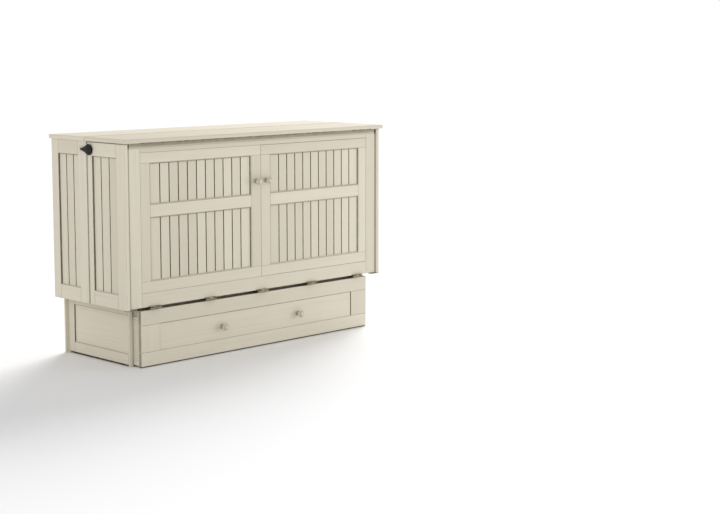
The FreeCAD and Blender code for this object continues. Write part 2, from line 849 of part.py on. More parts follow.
def side_pivots():
    """Plates and pins at the top and bottom corners on which the side panels swing."""
    deep, slip, plate = size.pivot_deep, size.pivot_slip, size.pivot_plate
    for side, sign in SIDES:
        x_range = outward(sign, size.pivot_in, size.pivot_tip)
        top = size.front_high
        upper = box("pivot_plate_top_" + side, (x_range[0], -size.pivot_edge, top),
                    (x_range[1], size.pivot_tail, top + plate))
        centre = (size.pivot_out * sign, size.pivot_y)
        pin_long = deep + size.pivot_root
        pin = rod("pivot_pin_top_" + side, "z", (centre[0], centre[1], size.side_high - deep),
                  size.pivot_pin, pin_long)
        finish(fuse("side_pivot_top_" + side, [upper, pin]), "side_pivot_top_" + side)
        x_range = outward(sign, size.pivot_low_in, size.pivot_tip)
        level = size.side_low - slip
        lower = box("pivot_plate_low_" + side, (x_range[0], -size.pivot_edge, level - plate),
                    (x_range[1], size.pivot_tail, level))
        x_range = outward(sign, size.pivot_low_in, size.front_half - size.block_inset)
        root = level - plate / 2
        spacer = box("pivot_block_" + side, (x_range[0], size.front_face + size.pivot_edge, root),
                     (x_range[1], size.pivot_tail, size.front_low))
        pin = rod("pivot_pin_low_" + side, "z", (centre[0], centre[1], root), size.pivot_pin, pin_long)
        finish(fuse("side_pivot_low_" + side, [lower, spacer, pin]), "side_pivot_low_" + side)


# ---------------------------------------------------------------- side panels and latches
def build_side_panels():
    for side, sign in SIDES:
        gap = (size.fore_open, size.fore_close)
        face = size.side_out * sign
        run = (FLOOR, size.side_split)
        frame = half_side("side_frame_" + side, side, sign, run, gap, size.side_high)
        pin_holes(frame, face, size.pivot_out * sign, size.pivot_y)
        side_board("side_board_" + side, side, sign, gap, size.fore_groove, size.fore_pitch,
                   SIDE_GROOVE_COUNT)
        plate = size.latch_plate
        start = face if sign > 0 else face - plate
        spot = (size.latch_y, size.latch_z)
        foot = rod("latch_base_" + side, "x", (start,) + spot, size.latch_foot, plate)
        finish(foot, "latch_base_" + side)
        lever_face = (size.side_out + plate + size.latch_slip) * sign
        lever = new_body("latch_lever_" + side, (lever_face, 0, 0))
        hub = new_sketch(lever, "YZ_Plane")
        circle(hub, size.latch_y, size.latch_z, size.latch_hub)
        pad(lever, hub, size.latch_thick, sign < 0)
        tail = new_sketch(lever, "YZ_Plane")
        y, z, tip = size.latch_y, size.latch_z, size.latch_tip
        root, end = size.latch_root_half, size.latch_tip_half
        outline(tail, ((y, z - root), (tip, z - end), (tip, z + end), (y, z + root)))
        pad(lever, tail, size.latch_tail_thick, sign < 0)
        lift = size.latch_thick * sign
        cap = new_sketch(lever, "YZ_Plane", lift)
        circle(cap, size.latch_y, size.latch_z, size.latch_cap)
        pad(lever, cap, size.latch_cap_high, sign < 0)
        dress(lever, "Chamfer", size.latch_bevel, lambda c, e: near(c.x, lift)
              and hasattr(e.Curve, "Radius") and near(e.Curve.Radius, size.latch_hub))


# ---------------------------------------------------------------- lid
def build_lid():
    body = slab_body("lid_board", (size.top_front, size.top_split), size.top_front)
    under, half, over = size.slab_low, size.lid_half, size.lid_rebate_over
    drawn = new_sketch(body, "XY_Plane")
    wide = (-half - over, half + over)
    rectangle(drawn, wide, (size.top_front - over, size.lid_rebate_rear))
    pocket(body, drawn, size.lid_rebate_high - under)
    y, z, r = size.lid_y, size.lid_z, size.lid_knuckle
    step = half * 2 / LID_KNUCKLE_COUNT
    gap = size.knuckle_gap / 2
    top = size.front_high
    leaf_under = under - size.lid_leaf + size.lid_seat
    fixed = [box("lid_leaf_low", (-half, y, top), (half, size.lid_leaf_rear, top + size.lid_leaf))]
    moving = [box("lid_leaf_high", (-half, y + size.lid_leaf_back, leaf_under),
                  (half, size.lid_leaf_rear + size.lid_leaf_more, under))]
    thin = size.lid_neck_half
    for k in range(LID_KNUCKLE_COUNT):
        start = -half + step * k + gap
        stop = -half + step * (k + 1) - gap
        eye = rod("lid_eye" + str(k), "x", (start, y, z), r, stop - start)
        if k % 2:
            web = box("lid_web" + str(k), (start, y, leaf_under), (stop, y + size.lid_web, under))
            moving += [eye, web]
        else:
            neck = box("lid_neck" + str(k), (start, y - thin, top), (stop, y + thin, z))
            fixed += [eye, neck]

    def clear_of(label, solid, knuckles, slack):
        """Cuts room for the other leaf's knuckles."""
        round_room = rod(label + "_round", "x", (-half, y, z), r + slack, half * 2)
        low = (y - size.lid_zone_half, z - size.lid_zone_low)
        high = (y + size.lid_zone_half, z + size.lid_zone_half)
        zones = []
        for k in knuckles:
            start = -half + step * k - gap
            stop = -half + step * (k + 1) + gap
            zones.append(box(label + "_zone" + str(k), (start,) + low, (stop,) + high))
        room = doc.addObject("Part::MultiCommon", label + "_room")
        room.Shapes = [round_room, fuse(label + "_zones", zones)]
        finish(cut(label, fuse(label + "_solid", solid), room), label)

    clear_of("lid_hinge_upper", moving, range(0, LID_KNUCKLE_COUNT, 2), size.lid_slack)
    clear_of("lid_hinge_lower", fixed, range(1, LID_KNUCKLE_COUNT, 2), size.lid_slack_wide)


# ---------------------------------------------------------------- folding foot section
def build_foot():
    half, face, thick = size.foot_half, size.foot_face, size.platform
    spans = FOOT_SLOT_COUNT - 1
    first = -size.slot_step * (spans / 2)
    tall = (size.foot_tip, size.foot_edge)
    body = board("foot_deck", "front", face, (-half, half), tall, thick)
    slot = new_sketch(body, "XZ_Plane", -thick)
    wide = size.slot_wide / 2
    rectangle(slot, (first - wide, first + wide), (size.slot_low, size.slot_high))
    one = pocket(body, slot)
    repeat(body, one, "X_Axis", size.slot_step * spans, FOOT_SLOT_COUNT)
    rear = face + thick
    cleats = []
    for k, x in enumerate((-size.cleat_mid, dim(0), size.cleat_mid)):
        low = (x - size.cleat_wide / 2, rear, size.cleat_low)
        high = (x + size.cleat_wide / 2, rear + size.cleat_thick, size.cleat_high)
        cleats.append(box("cleat" + str(k), low, high))
    finish(fuse("foot_deck_cleats", cleats), "foot_deck_cleats")

    y, z, r = size.foot_y, size.foot_z, size.foot_knuckle
    third = size.foot_hinge_wide / 3
    gap = size.knuckle_gap
    back, edge = size.front_back, size.foot_edge
    pin, half_leaf = r * PIN_SHARE, size.foot_leaf_half
    fixed, moving = [], []
    spots = (-size.foot_hinge_far, -size.foot_hinge_near, size.foot_hinge_near, size.foot_hinge_far)
    for k, x in enumerate(spots):
        tag = str(k)
        left, right = x - size.foot_hinge_wide / 2, x + size.foot_hinge_wide / 2
        inner_left, inner_right = left + third, right - third
        low, high = z - half_leaf, z + half_leaf
        leaf = [box("foot_leaf_back" + tag, (left, back, low), (right, y - size.foot_leaf_short, high))]
        for end, start in enumerate((left, inner_right)):
            leaf.append(box("foot_leaf_arm" + tag + str(end), (start, back, low), (start + third, y, high)))
            leaf.append(rod("foot_leaf_eye" + tag + str(end), "x", (start, y, z), r, third))
        leaf.append(rod("foot_pin" + tag, "x", (left, y, z), pin, size.foot_hinge_wide))
        fixed.append(fuse("foot_leaf" + tag, leaf))
        eye = rod("foot_eye" + tag, "x", (inner_left + gap, y, z), r, third - gap * 2)
        web = box("foot_web" + tag, (inner_left + gap, face, edge),
                  (inner_right - gap, y + size.foot_web, z))
        plate = box("foot_plate" + tag, (left, face, edge), (right, rear, edge + size.foot_leaf))
        bore = rod("foot_bore" + tag, "x", (left, y, z), pin + size.bore_slack, size.foot_hinge_wide)
        solid = fuse("foot_moving" + tag, [eye, web, plate])
        moving.append(cut("foot_moving_cut" + tag, solid, bore))
    finish(fuse("foot_hinge_front_leaves", fixed), "foot_hinge_front_leaves")
    finish(fuse("foot_hinge_deck_leaves", moving), "foot_hinge_deck_leaves")

    leg_y = size.leg_deep
    leg_half = size.leg_thick / 2
    x_out = size.leg_mid + size.leg_wide / 2
    x_in = size.leg_mid - size.leg_wide / 2
    low = size.leg_level - leg_half
    high = size.leg_level + size.leg_long
    bar_low, bar_high = size.leg_level + size.leg_bar_low, size.leg_level + size.leg_bar_high
    legs = new_body("foot_leg_frame", (0, leg_y - leg_half, 0))
    drawn = new_sketch(legs, "XZ_Plane")
    outline(drawn, (
        (-x_out, low), (-x_in, low), (-x_in, bar_low), (x_in, bar_low), (x_in, low), (x_out, low),
        (x_out, high), (x_in, high), (x_in, bar_high), (-x_in, bar_high), (-x_in, high), (-x_out, high),
    ))
    pad(legs, drawn, size.leg_thick, True)
    hole = new_sketch(legs, "YZ_Plane")
    circle(hole, leg_half, size.leg_level, size.leg_hole)
    through = pocket(legs, hole)
    through.Midplane = True
    doc.recompute()
    end_z = low.value
    thick_value = size.leg_thick.value
    dress(legs, "Fillet", size.leg_round, lambda c, e: near(c.z, end_z)
          and (near(c.y, 0) or near(c.y, thick_value)))
    brackets = []
    reach = size.leg_wide / 2 + size.leg_side_gap
    outer = reach + size.cheek_thick
    level, tall = size.leg_level, size.cheek_half
    for k, x in enumerate((-size.leg_mid, size.leg_mid)):
        tag = str(k)
        parts = []
        for end, (start, stop) in enumerate(((x - outer, x - reach), (x + reach, x + outer))):
            parts.append(box("cheek" + tag + str(end), (start, rear, level - tall),
                             (stop, leg_y + size.cheek_tail, level + tall)))
        parts.append(rod("leg_pin" + tag, "x", (x - outer, leg_y, level), size.leg_pin, outer * 2))
        brackets.append(fuse("leg_bracket" + tag, parts))
    finish(fuse("foot_leg_brackets", brackets), "foot_leg_brackets")


# ---------------------------------------------------------------- drawer
def build_drawer():
    half, face, thick = size.drawer_half, size.drawer_face, size.drawer_thick
    open_x = (-size.drawer_stile, size.drawer_stile)
    open_z = (size.drawer_rail_low, size.drawer_rail_high)
    frame = board("drawer_front_frame", "front", face, (-half, half), (size.drawer_low, size.drawer_high),
                  thick, ((open_x, open_z),))
    deep = thick - size.drawer_recess
    rebate(frame, "front", thick, open_x, open_z, deep)
    grow = size.rebate
    recessed = face + size.drawer_recess
    board("drawer_front_panel", "front", recessed, (open_x[0] - grow, open_x[1] + grow),
          (open_z[0] - grow, open_z[1] + grow), deep)
    back = face + thick
    inner = size.box_out - size.box_wall
    for side, sign in SIDES:
        x_range = outward(sign, inner, size.box_out)
        wall = box("drawer_side_" + side, (x_range[0], back, size.box_low),
                   (x_range[1], size.box_rear, size.box_high))
        finish(wall, "drawer_side_" + side)
        knob("drawer_knob_" + side, size.drawer_knob_out * sign, recessed, size.drawer_knob_level)
    rear = size.box_rear - size.box_wall
    finish(box("drawer_back", (-inner, rear, size.box_low), (inner, size.box_rear, size.box_high)),
           "drawer_back")
    finish(box("drawer_bottom", (-inner, back, size.box_floor),
               (inner, rear, size.box_floor + size.box_floor_thick)), "drawer_bottom")


# ---------------------------------------------------------------- build, check and export
build_base()
build_rear_shell()
build_front()
fold_hinges()
side_pivots()
build_side_panels()
build_lid()
build_foot()
build_drawer()
doc.recompute()

for obj in doc.Objects:
    for state in obj.State:
        if state in ("Invalid", "Error"):
            raise RuntimeError("not built: " + obj.Label)
for label, obj in finished:
    if obj.Shape.isNull() or not obj.Shape.isValid():
        raise RuntimeError("bad shape: " + label)
for label, obj in finished:
    obj.Shape.exportStep("parts/" + label + ".step")
    limits = obj.Shape.BoundBox
    low = (round(limits.XMin, 1), round(limits.YMin, 1), round(limits.ZMin, 1))
    high = (round(limits.XMax, 1), round(limits.YMax, 1), round(limits.ZMax, 1))
    print(label, len(obj.Shape.Solids), low, high)
print(len(finished), "sub-parts")
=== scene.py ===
import math
import random

import bmesh
import bpy
from mathutils import Matrix, Vector


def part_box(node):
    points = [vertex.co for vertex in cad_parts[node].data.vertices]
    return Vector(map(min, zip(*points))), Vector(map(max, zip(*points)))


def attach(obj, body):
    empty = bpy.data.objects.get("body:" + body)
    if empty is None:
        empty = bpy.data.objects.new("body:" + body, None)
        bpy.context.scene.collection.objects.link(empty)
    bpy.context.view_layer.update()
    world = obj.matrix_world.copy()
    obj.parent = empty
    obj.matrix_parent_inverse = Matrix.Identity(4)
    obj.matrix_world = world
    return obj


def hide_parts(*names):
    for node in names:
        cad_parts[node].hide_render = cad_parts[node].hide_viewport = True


# Cabinet bed in glazed cream paint. Metres, same frame as the solids: X along the front, Y to the
# back, Z up. Places and sizes come from the solids; only what the joiner adds is written here.

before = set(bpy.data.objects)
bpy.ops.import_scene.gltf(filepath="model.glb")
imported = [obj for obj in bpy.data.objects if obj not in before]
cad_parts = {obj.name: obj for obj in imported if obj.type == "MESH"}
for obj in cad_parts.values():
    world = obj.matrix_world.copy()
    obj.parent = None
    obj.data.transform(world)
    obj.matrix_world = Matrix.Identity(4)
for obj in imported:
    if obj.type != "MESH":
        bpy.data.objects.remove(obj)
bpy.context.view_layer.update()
random.seed(7)

MM = 0.001
EASE = 0.9 * MM  # softened edge of a painted board
SOFT_EASE = 1.6 * MM  # edge of unpainted inside timber
STAVE_EASE = 0.4 * MM  # joint between glued staves
TUCK = 6 * MM  # how far an infill board goes under its frame
HAIR = 0.3 * MM  # keeps two faces out of one plane
PROUD = 0.15 * MM  # how far a strip of glaze stands out of its board
SKIN = 1 * MM  # and how far it goes in
SAME = 1e-6  # places nearer than this are one place
X, Y, Z = 0, 1, 2
SIDES = (("left", -1), ("right", 1))  # and the way out along X


# ---- small helpers
def vec(x, y, z):
    return Vector((x, y, z))


def box_of(node):
    low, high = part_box(node)
    return Vector(low), Vector(high)


def depth_axis_of(low, high):
    """The axis along which a board is thinnest."""
    return min((X, Y, Z), key=lambda axis: high[axis] - low[axis])


def opening_of(infill):
    """The clear opening in front of an infill board, which goes under its frame all round."""
    low, high = box_of(infill)
    deep = depth_axis_of(low, high)
    for axis in (X, Y, Z):
        if axis != deep:
            low[axis] += TUCK
            high[axis] -= TUCK
    return low, high


def infill_of(node):
    """Box of an infill board, its inner face a hair behind the face of its frame."""
    low, high = box_of(node)
    deep = depth_axis_of(low, high)
    if abs(low[deep]) < abs(high[deep]):
        low[deep] += HAIR
    else:
        high[deep] -= HAIR
    return low, high


def inner_outer(low, high, sign):
    """The inner and the outer x of something at the left or the right."""
    return (low.x, high.x) if sign > 0 else (high.x, low.x)


def levels_of(node, axis):
    """The places along an axis at which a solid has corners."""
    return sorted({round(vert.co[axis], 5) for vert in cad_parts[node].data.vertices})


def solids_of(node):
    """Boxes of the separate solids in a node, from left to right."""
    work = bmesh.new()
    work.from_mesh(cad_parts[node].data)
    bmesh.ops.remove_doubles(work, verts=work.verts, dist=SAME)
    left, boxes = set(work.verts), []
    while left:
        group, queue = set(), [left.pop()]
        while queue:
            vert = queue.pop()
            group.add(vert)
            found = {edge.other_vert(vert) for edge in vert.link_edges} & left
            left -= found
            queue += found
        boxes.append([Vector([pick(vert.co[axis] for vert in group) for axis in (X, Y, Z)])
                      for pick in (min, max)])
    work.free()
    return sorted(boxes, key=lambda pair: pair[0].x)


def link(name, data):
    obj = bpy.data.objects.new(name, data)
    bpy.context.collection.objects.link(obj)
    return obj


def smooth_by_angle(mesh, degrees=35):
    """Rounds the shading except across sharp edges."""
    mesh.polygons.foreach_set("use_smooth", [True] * len(mesh.polygons))
    mesh.set_sharp_from_angle(angle=math.radians(degrees))


def mesh_from(work, name, degrees=None):
    """The mesh of finished bmesh work, its shading rounded if an angle is given."""
    mesh = bpy.data.meshes.new(name)
    work.to_mesh(mesh)
    work.free()
    if degrees:
        smooth_by_angle(mesh, degrees)
    return mesh


# ---- node graphs
class Wiring:
    """Short hand for building a node tree."""

    def __init__(self, tree):
        self.tree = tree

    def feed(self, socket, value):
        if isinstance(value, bpy.types.NodeSocket):
            self.tree.links.new(value, socket)
        else:
            socket.default_value = value

    def node(self, kind, inputs=None, **settings):
        """A node with its settings, then its inputs by name or number."""
        made = self.tree.nodes.new(kind)
        for key, value in settings.items():
            setattr(made, key, value)
        for key, value in (inputs or {}).items():
            self.feed(made.inputs[key], value)
        return made


class Finish(Wiring):
    """A material and short hand for its nodes."""

    def __init__(self, name):
        self.material = bpy.data.materials.new(name)
        self.material.use_nodes = True
        super().__init__(self.material.node_tree)
        self.shader = self.tree.nodes["Principled BSDF"]

    def in_order(self, kind, *values, **settings):
        return self.node(kind, dict(enumerate(values)), **settings).outputs[0]

    def math(self, operation, *values, clamp=False):
        return self.in_order("ShaderNodeMath", *values, operation=operation, use_clamp=clamp)

    def times(self, value, factor):
        return self.math("MULTIPLY", value, factor)

    def remap(self, value, from_low, from_high, to_low=0.0, to_high=1.0):
        return self.in_order("ShaderNodeMapRange", value, from_low, from_high, to_low, to_high,
                             interpolation_type="SMOOTHSTEP")

    def vector(self, parts, scales=(1, 1, 1)):
        """A place from its three parts, each at its own scale."""
        scaled = [part if scale == 1 else self.times(part, scale) for part, scale in zip(parts, scales)]
        return self.in_order("ShaderNodeCombineXYZ", *scaled)

    def mix(self, factor, first, second):
        return self.node("ShaderNodeMix", {"Factor": factor, "A": first, "B": second},
                         data_type="RGBA").outputs["Result"]

    def noise(self, place, scale, detail, rough=0.5):
        return self.node("ShaderNodeTexNoise", {
            "Vector": place, "Scale": scale, "Detail": detail, "Roughness": rough}).outputs["Fac"]

    def attribute(self, name, output="Fac"):
        return self.node("ShaderNodeAttribute", attribute_name=name).outputs[output]

    def split(self, vector):
        return self.node("ShaderNodeSeparateXYZ", {"Vector": vector}).outputs[:3]

    def object_place(self, scale=(1, 1, 1)):
        place = self.node("ShaderNodeTexCoord").outputs["Object"]
        return self.node("ShaderNodeMapping", {"Vector": place, "Scale": scale}).outputs[0]

    def fixed(self, **values):
        """What is the same all over goes on the shader's own sockets, "_" for a space."""
        for name, value in values.items():
            self.shader.inputs[name.replace("_", " ")].default_value = value

    def coat(self, colour, roughness, height, strength, distance):
        """Joins colour, roughness and bump to the shader."""
        bump = self.node("ShaderNodeBump", {"Height": height, "Strength": strength, "Distance": distance})
        self.feed(self.shader.inputs["Base Color"], colour)
        self.feed(self.shader.inputs["Roughness"], roughness)
        self.feed(self.shader.inputs["Normal"], bump.outputs[0])
        return self.material


def srgb(*parts):
    """A colour given as it looks on a screen, 0 to 255."""
    return (*(share / 12.92 if share <= 0.04045 else ((share + 0.055) / 1.055) ** 2.4
              for share in (part / 255 for part in parts)), 1.0)


PAINT = srgb(227, 220, 203)
PAINT_WORN = srgb(217, 209, 191)
PAINT_DULL = srgb(208, 199, 182)
# brown of the glaze, also the colour of painted shade and shadow
GLAZE_AND_SHADE = srgb(62, 53, 39)
PINE = srgb(206, 172, 122)
PINE_DARK = srgb(170, 128, 80)
PINE_FIBRE = srgb(226, 198, 154)
PINE_DIRT = srgb(120, 88, 54)
STEEL_DULL = srgb(146, 139, 118)
STEEL_DARK = srgb(100, 93, 75)
IRON_BLACK = srgb(17, 16, 16)
IRON_WORN = srgb(46, 40, 35)

# scales along a board, across it and from board to board
BRUSH_MARKS = (2.2, 95.0, 3.7)
GRAIN_BEND = (1, 4.0, 1)
YEAR_RINGS = (0.9, 46.0, 1)
WOOD_FIBRE = (7.0, 420.0, 1)
RUBBED_EDGE = 3.5 * MM  # how far in from a board's edge the paint is rubbed through


def board_nodes(finish):
    """The place of a point on its board (along, across, board number), its distance to the edge and
    the share of glaze there, which also carries painted shade in openings, gaps and under the slab."""
    along, across, number = finish.split(finish.attribute("place", "Vector"))
    length, width, held = finish.split(finish.attribute("span", "Vector"))
    end = finish.math("MINIMUM", along, finish.math("SUBTRACT", length, along))
    side = finish.math("MINIMUM", across, finish.math("SUBTRACT", width, across))
    number = finish.math("ADD", number, finish.attribute("slat_tone"))
    return (along, across, number), finish.math("MINIMUM", end, side), held


def cream_paint():
    """Brushed paint with a brown glaze left in the joints and along the edges; the same brown paints shade
    in openings, gaps and under the slab.
    """
    paint = Finish("cream_paint")
    place, edge, held = board_nodes(paint)
    streak = paint.noise(paint.vector(place, BRUSH_MARKS), 1.0, 4.0, 0.6)
    cloud = paint.noise(paint.vector(place), 7.0, 2.0)
    patchy = paint.noise(paint.vector(place), 34.0, 3.0)
    worn = paint.times(paint.remap(streak, 0.35, 0.75), 0.45)
    colour = paint.mix(paint.math("ADD", worn, paint.times(cloud, 0.25)), PAINT, PAINT_WORN)
    dull = paint.noise(paint.vector((paint.times(place[2], 23.0), 0.5, 0.5)), 1.0, 0.0)
    colour = paint.mix(paint.times(paint.remap(dull, 0.3, 0.7), 0.5), colour, PAINT_DULL)
    rub = paint.times(paint.remap(edge, 0.0, RUBBED_EDGE, 1.0, 0.0),
                      paint.remap(patchy, 0.25, 0.75, 0.03, 0.16))
    # the share set on each face: real glaze, and painted shade where a face stands in a shadow
    line = paint.times(held, paint.remap(patchy, 0.2, 0.8, 0.8, 1.0))
    streaks = paint.times(paint.remap(streak, 0.62, 0.86), 0.08)
    glaze = paint.math("MAXIMUM", paint.math("MAXIMUM", rub, line), streaks, clamp=True)
    paint.fixed(Specular_IOR_Level=0.01)
    return paint.coat(paint.mix(glaze, colour, GLAZE_AND_SHADE), paint.remap(streak, 0.2, 0.8, 0.52, 0.66),
                      streak, 0.10, 0.4 * MM)


def turned_paint():
    """The same paint on turned work, glaze settled in the coves."""
    paint = Finish("cream_turned")
    place = paint.object_place()
    cloud = paint.noise(place, 45.0, 3.0)
    patchy = paint.noise(place, 130.0, 3.0)
    colour = paint.mix(paint.math("ADD", 0.35, paint.times(cloud, 0.6)), PAINT, PAINT_WORN)
    rubbed = paint.remap(patchy, 0.45, 0.75, 0.10, 0.34)
    glaze = paint.math("MAXIMUM", rubbed, paint.times(paint.attribute("cove"), 0.85))
    return paint.coat(paint.mix(glaze, colour, GLAZE_AND_SHADE), paint.remap(cloud, 0.3, 0.7, 0.38, 0.5),
                      cloud, 0.05, 0.3 * MM)


def plain_timber():
    """Unpainted pine for the inside, grain along each board."""
    wood = Finish("plain_wood")
    place, _, held = board_nodes(wood)
    along, across, number = place
    bend = wood.noise(wood.vector(place, GRAIN_BEND), 2.4, 2.0)
    warped = wood.math("ADD", across, wood.times(bend, 0.05))
    rings = wood.noise(wood.vector((along, warped, number), YEAR_RINGS), 1.0, 2.0)
    fibre = wood.noise(wood.vector(place, WOOD_FIBRE), 1.0, 2.0)
    colour = wood.mix(wood.times(wood.remap(rings, 0.42, 0.66), 0.75), PINE, PINE_DARK)
    colour = wood.mix(wood.times(fibre, 0.25), colour, PINE_FIBRE)
    return wood.coat(wood.mix(wood.times(held, 0.25), colour, PINE_DIRT),
                     wood.remap(fibre, 0.2, 0.8, 0.5, 0.68), fibre, 0.12, 0.3 * MM)


def steel():
    """Dull bronzed steel of the hinges and pivots, faintly brushed."""
    metal = Finish("hinge_steel")
    brushed = metal.noise(metal.object_place((30, 900, 900)), 1.0, 2.0)
    spots = metal.noise(metal.object_place(), 60.0, 3.0)
    metal.fixed(Metallic=0.6)
    return metal.coat(metal.mix(metal.remap(spots, 0.35, 0.7), STEEL_DULL, STEEL_DARK),
                      metal.remap(brushed, 0.3, 0.7, 0.44, 0.6), brushed, 0.05, 0.2 * MM)


def oiled_iron():
    """Dark oil-rubbed iron of the side latches."""
    metal = Finish("dark_iron")
    cast = metal.noise(metal.object_place(), 210.0, 4.0)
    wear = metal.noise(metal.object_place(), 60.0, 2.0)
    metal.fixed(Metallic=0.3, Specular_IOR_Level=0.3)
    return metal.coat(metal.mix(metal.remap(wear, 0.5, 0.75), IRON_BLACK, IRON_WORN),
                      metal.remap(cast, 0.3, 0.7, 0.42, 0.6), cast, 0.25, 0.4 * MM)


CREAM = cream_paint()
TURNED = turned_paint()
PLAIN = plain_timber()
STEEL = steel()
IRON = oiled_iron()


def settle(name, mesh, material, body, *nodes):
    """Makes a finished mesh a piece that rides on its body and stands for nodes."""
    mesh.materials.clear()
    mesh.materials.append(material)
    obj = link(name, mesh)
    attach(obj, body)
    if nodes:
        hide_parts(*nodes)


# ---- boards
# share of glaze that a face holds; inside openings it is also painted shade, lighter on faces that look up
JOINT_GLAZE = 0.50  # butt joints
RIM_GLAZE = 0.08  # outer rim of a frame
INSIDE_GLAZE_AND_SHADE = 0.90  # faces inside an opening: glaze and painted shade
LIT_SILL_GLAZE = 0.18  # the face that looks up, kept light as painted light from above
GROOVE_GLAZE = 1.0
RIM_REACH = 1.2 * EASE  # faces nearer the outside belong to the rim
SQUARE_ON = 0.999  # the normal of a face that isn't eased
DECK_STAVES = 4


def plain_shade(eased_share, flat_share=0.0):
    """The same glaze on every eased edge and on every flat face."""
    return lambda centre, flat, eased, normal: eased_share if eased else flat_share


def frame_shade(low, high, across, joint=JOINT_GLAZE, inside=INSIDE_GLAZE_AND_SHADE, ends=0.0, tops=0.0):
    """Glaze for the boards of a frame: little on its rim, more in its joints, and glaze with painted shade
    in its openings, lighter on faces that look up.
    """
    def shade(centre, flat, eased, normal):
        room = min(min(centre[axis] - low[axis], high[axis] - centre[axis]) for axis in (across, Z))
        at_rim = room < RIM_REACH
        if eased:
            return RIM_GLAZE if at_rim else joint
        if flat not in (across, Z):
            return 0.0
        if at_rim:
            return ends if flat == across else tops
        return LIT_SILL_GLAZE if normal.z > 0.5 else inside
    return shade


class Joinery:
    """Boards with eased edges, gathered into one mesh."""

    def __init__(self):
        self.mesh = bmesh.new()
        self.place = self.mesh.loops.layers.float_vector.new("place")
        self.span = self.mesh.loops.layers.float_vector.new("span")

    def board(self, low, high, grain, ease=EASE, rounds=1, only=None, shade=plain_shade(JOINT_GLAZE)):
        """One board between two corners; "only" picks the edges to ease by their two end points,
        and "shade" tells how much glaze a face holds."""
        low, high = Vector(low), Vector(high)
        middle, reach = (low + high) / 2, high - low
        before = set(self.mesh.faces)
        matrix = Matrix.Translation(middle) @ Matrix.Diagonal((*reach, 1.0))
        verts = bmesh.ops.create_cube(self.mesh, size=1.0, matrix=matrix)["verts"]
        edges = list({edge for vert in verts for edge in vert.link_edges})
        if only:
            edges = [edge for edge in edges if only(edge.verts[0].co, edge.verts[1].co)]
        if edges and ease > 0:
            bmesh.ops.bevel(self.mesh, geom=edges, offset=ease, segments=rounds,
                            profile=0.5, affect="EDGES", clamp_overlap=True)
        number = random.random()
        for face in set(self.mesh.faces) - before:
            face.normal_update()
            self.mark(face, low, reach, grain, number, shade)

    def between(self, x_range, y_range, z_range, grain, *rest, **named):
        """A board given by its two ends along each axis, in any order."""
        low, high = zip(*(sorted(pair) for pair in (x_range, y_range, z_range)))
        self.board(low, high, grain, *rest, **named)

    def strip(self, x_range, y_range, z_range, grain, share):
        """A sharp-edged board that holds the same glaze all over, used also for painted shade and shadow.
        """
        self.between(x_range, y_range, z_range, grain, 0, shade=plain_shade(share, share))

    def mark(self, face, low, reach, grain, number, shade):
        """Writes where each corner lies on its board, for the paint and the grain."""
        normal = [abs(part) for part in face.normal]
        flat = normal.index(max(normal))
        held = shade(face.calc_center_median(), flat, normal[flat] < SQUARE_ON, face.normal)
        run = [axis for axis in (X, Y, Z) if axis != flat]
        if run[1] == grain:
            run.reverse()
        for loop in face.loops:
            spot = loop.vert.co - low
            loop[self.place] = (spot[run[0]], spot[run[1]], number)
            loop[self.span] = (reach[run[0]], reach[run[1]], held)

    def finish(self, name):
        return mesh_from(self.mesh, name, 35)

    def piece(self, name, material, body, *nodes):
        settle(name, self.finish(name), material, body, *nodes)


def one_board(name, node, body, grain, material=CREAM, box=None):
    """A piece that is a single board, in the box of its node."""
    work = Joinery()
    work.board(*(box or box_of(node)), grain, EASE if material == CREAM else SOFT_EASE)
    work.piece(name, material, body, node)


def panel_frame(work, low, high, across, rails, stiles, rails_over=False, **glaze):
    """Two rails (low z, high z) and stiles (low, high) along "across", the horizontal axis of the
    panel. Rails run over the stiles or between them."""
    shade = frame_shade(low, high, across, **glaze)

    def place(span_across, span_up, grain):
        near, far = Vector(low), Vector(high)
        near[across], far[across] = span_across
        near.z, far.z = span_up
        work.board(near, far, grain, shade=shade)

    if rails_over:
        for rail in rails:
            place((low[across], high[across]), rail, across)
        for stile in stiles:
            place(stile, (rails[0][1], rails[1][0]), Z)
        return
    for stile in stiles:
        place(stile, (low.z, high.z), Z)
    for near, far in zip(stiles, stiles[1:]):
        for rail in rails:
            place((near[1], far[0]), rail, across)


def frame_round(work, low, high, across, clear_low, clear_high, rails_over=False, **glaze):
    """A frame with one opening."""
    rails = ((low.z, clear_low.z), (clear_high.z, high.z))
    stiles = ((low[across], clear_low[across]), (clear_high[across], high[across]))
    panel_frame(work, low, high, across, rails, stiles, rails_over, **glaze)


def staves(name, node, body, axis):
    """A plain timber panel of glued staves side by side along an axis."""
    low, high = box_of(node)
    work = Joinery()
    for k in range(DECK_STAVES):
        near, far = Vector(low), Vector(high)
        near[axis] = low[axis] + (high[axis] - low[axis]) * k / DECK_STAVES
        far[axis] = low[axis] + (high[axis] - low[axis]) * (k + 1) / DECK_STAVES
        work.board(near, far, X, STAVE_EASE)
    work.piece(name, PLAIN, body, node)


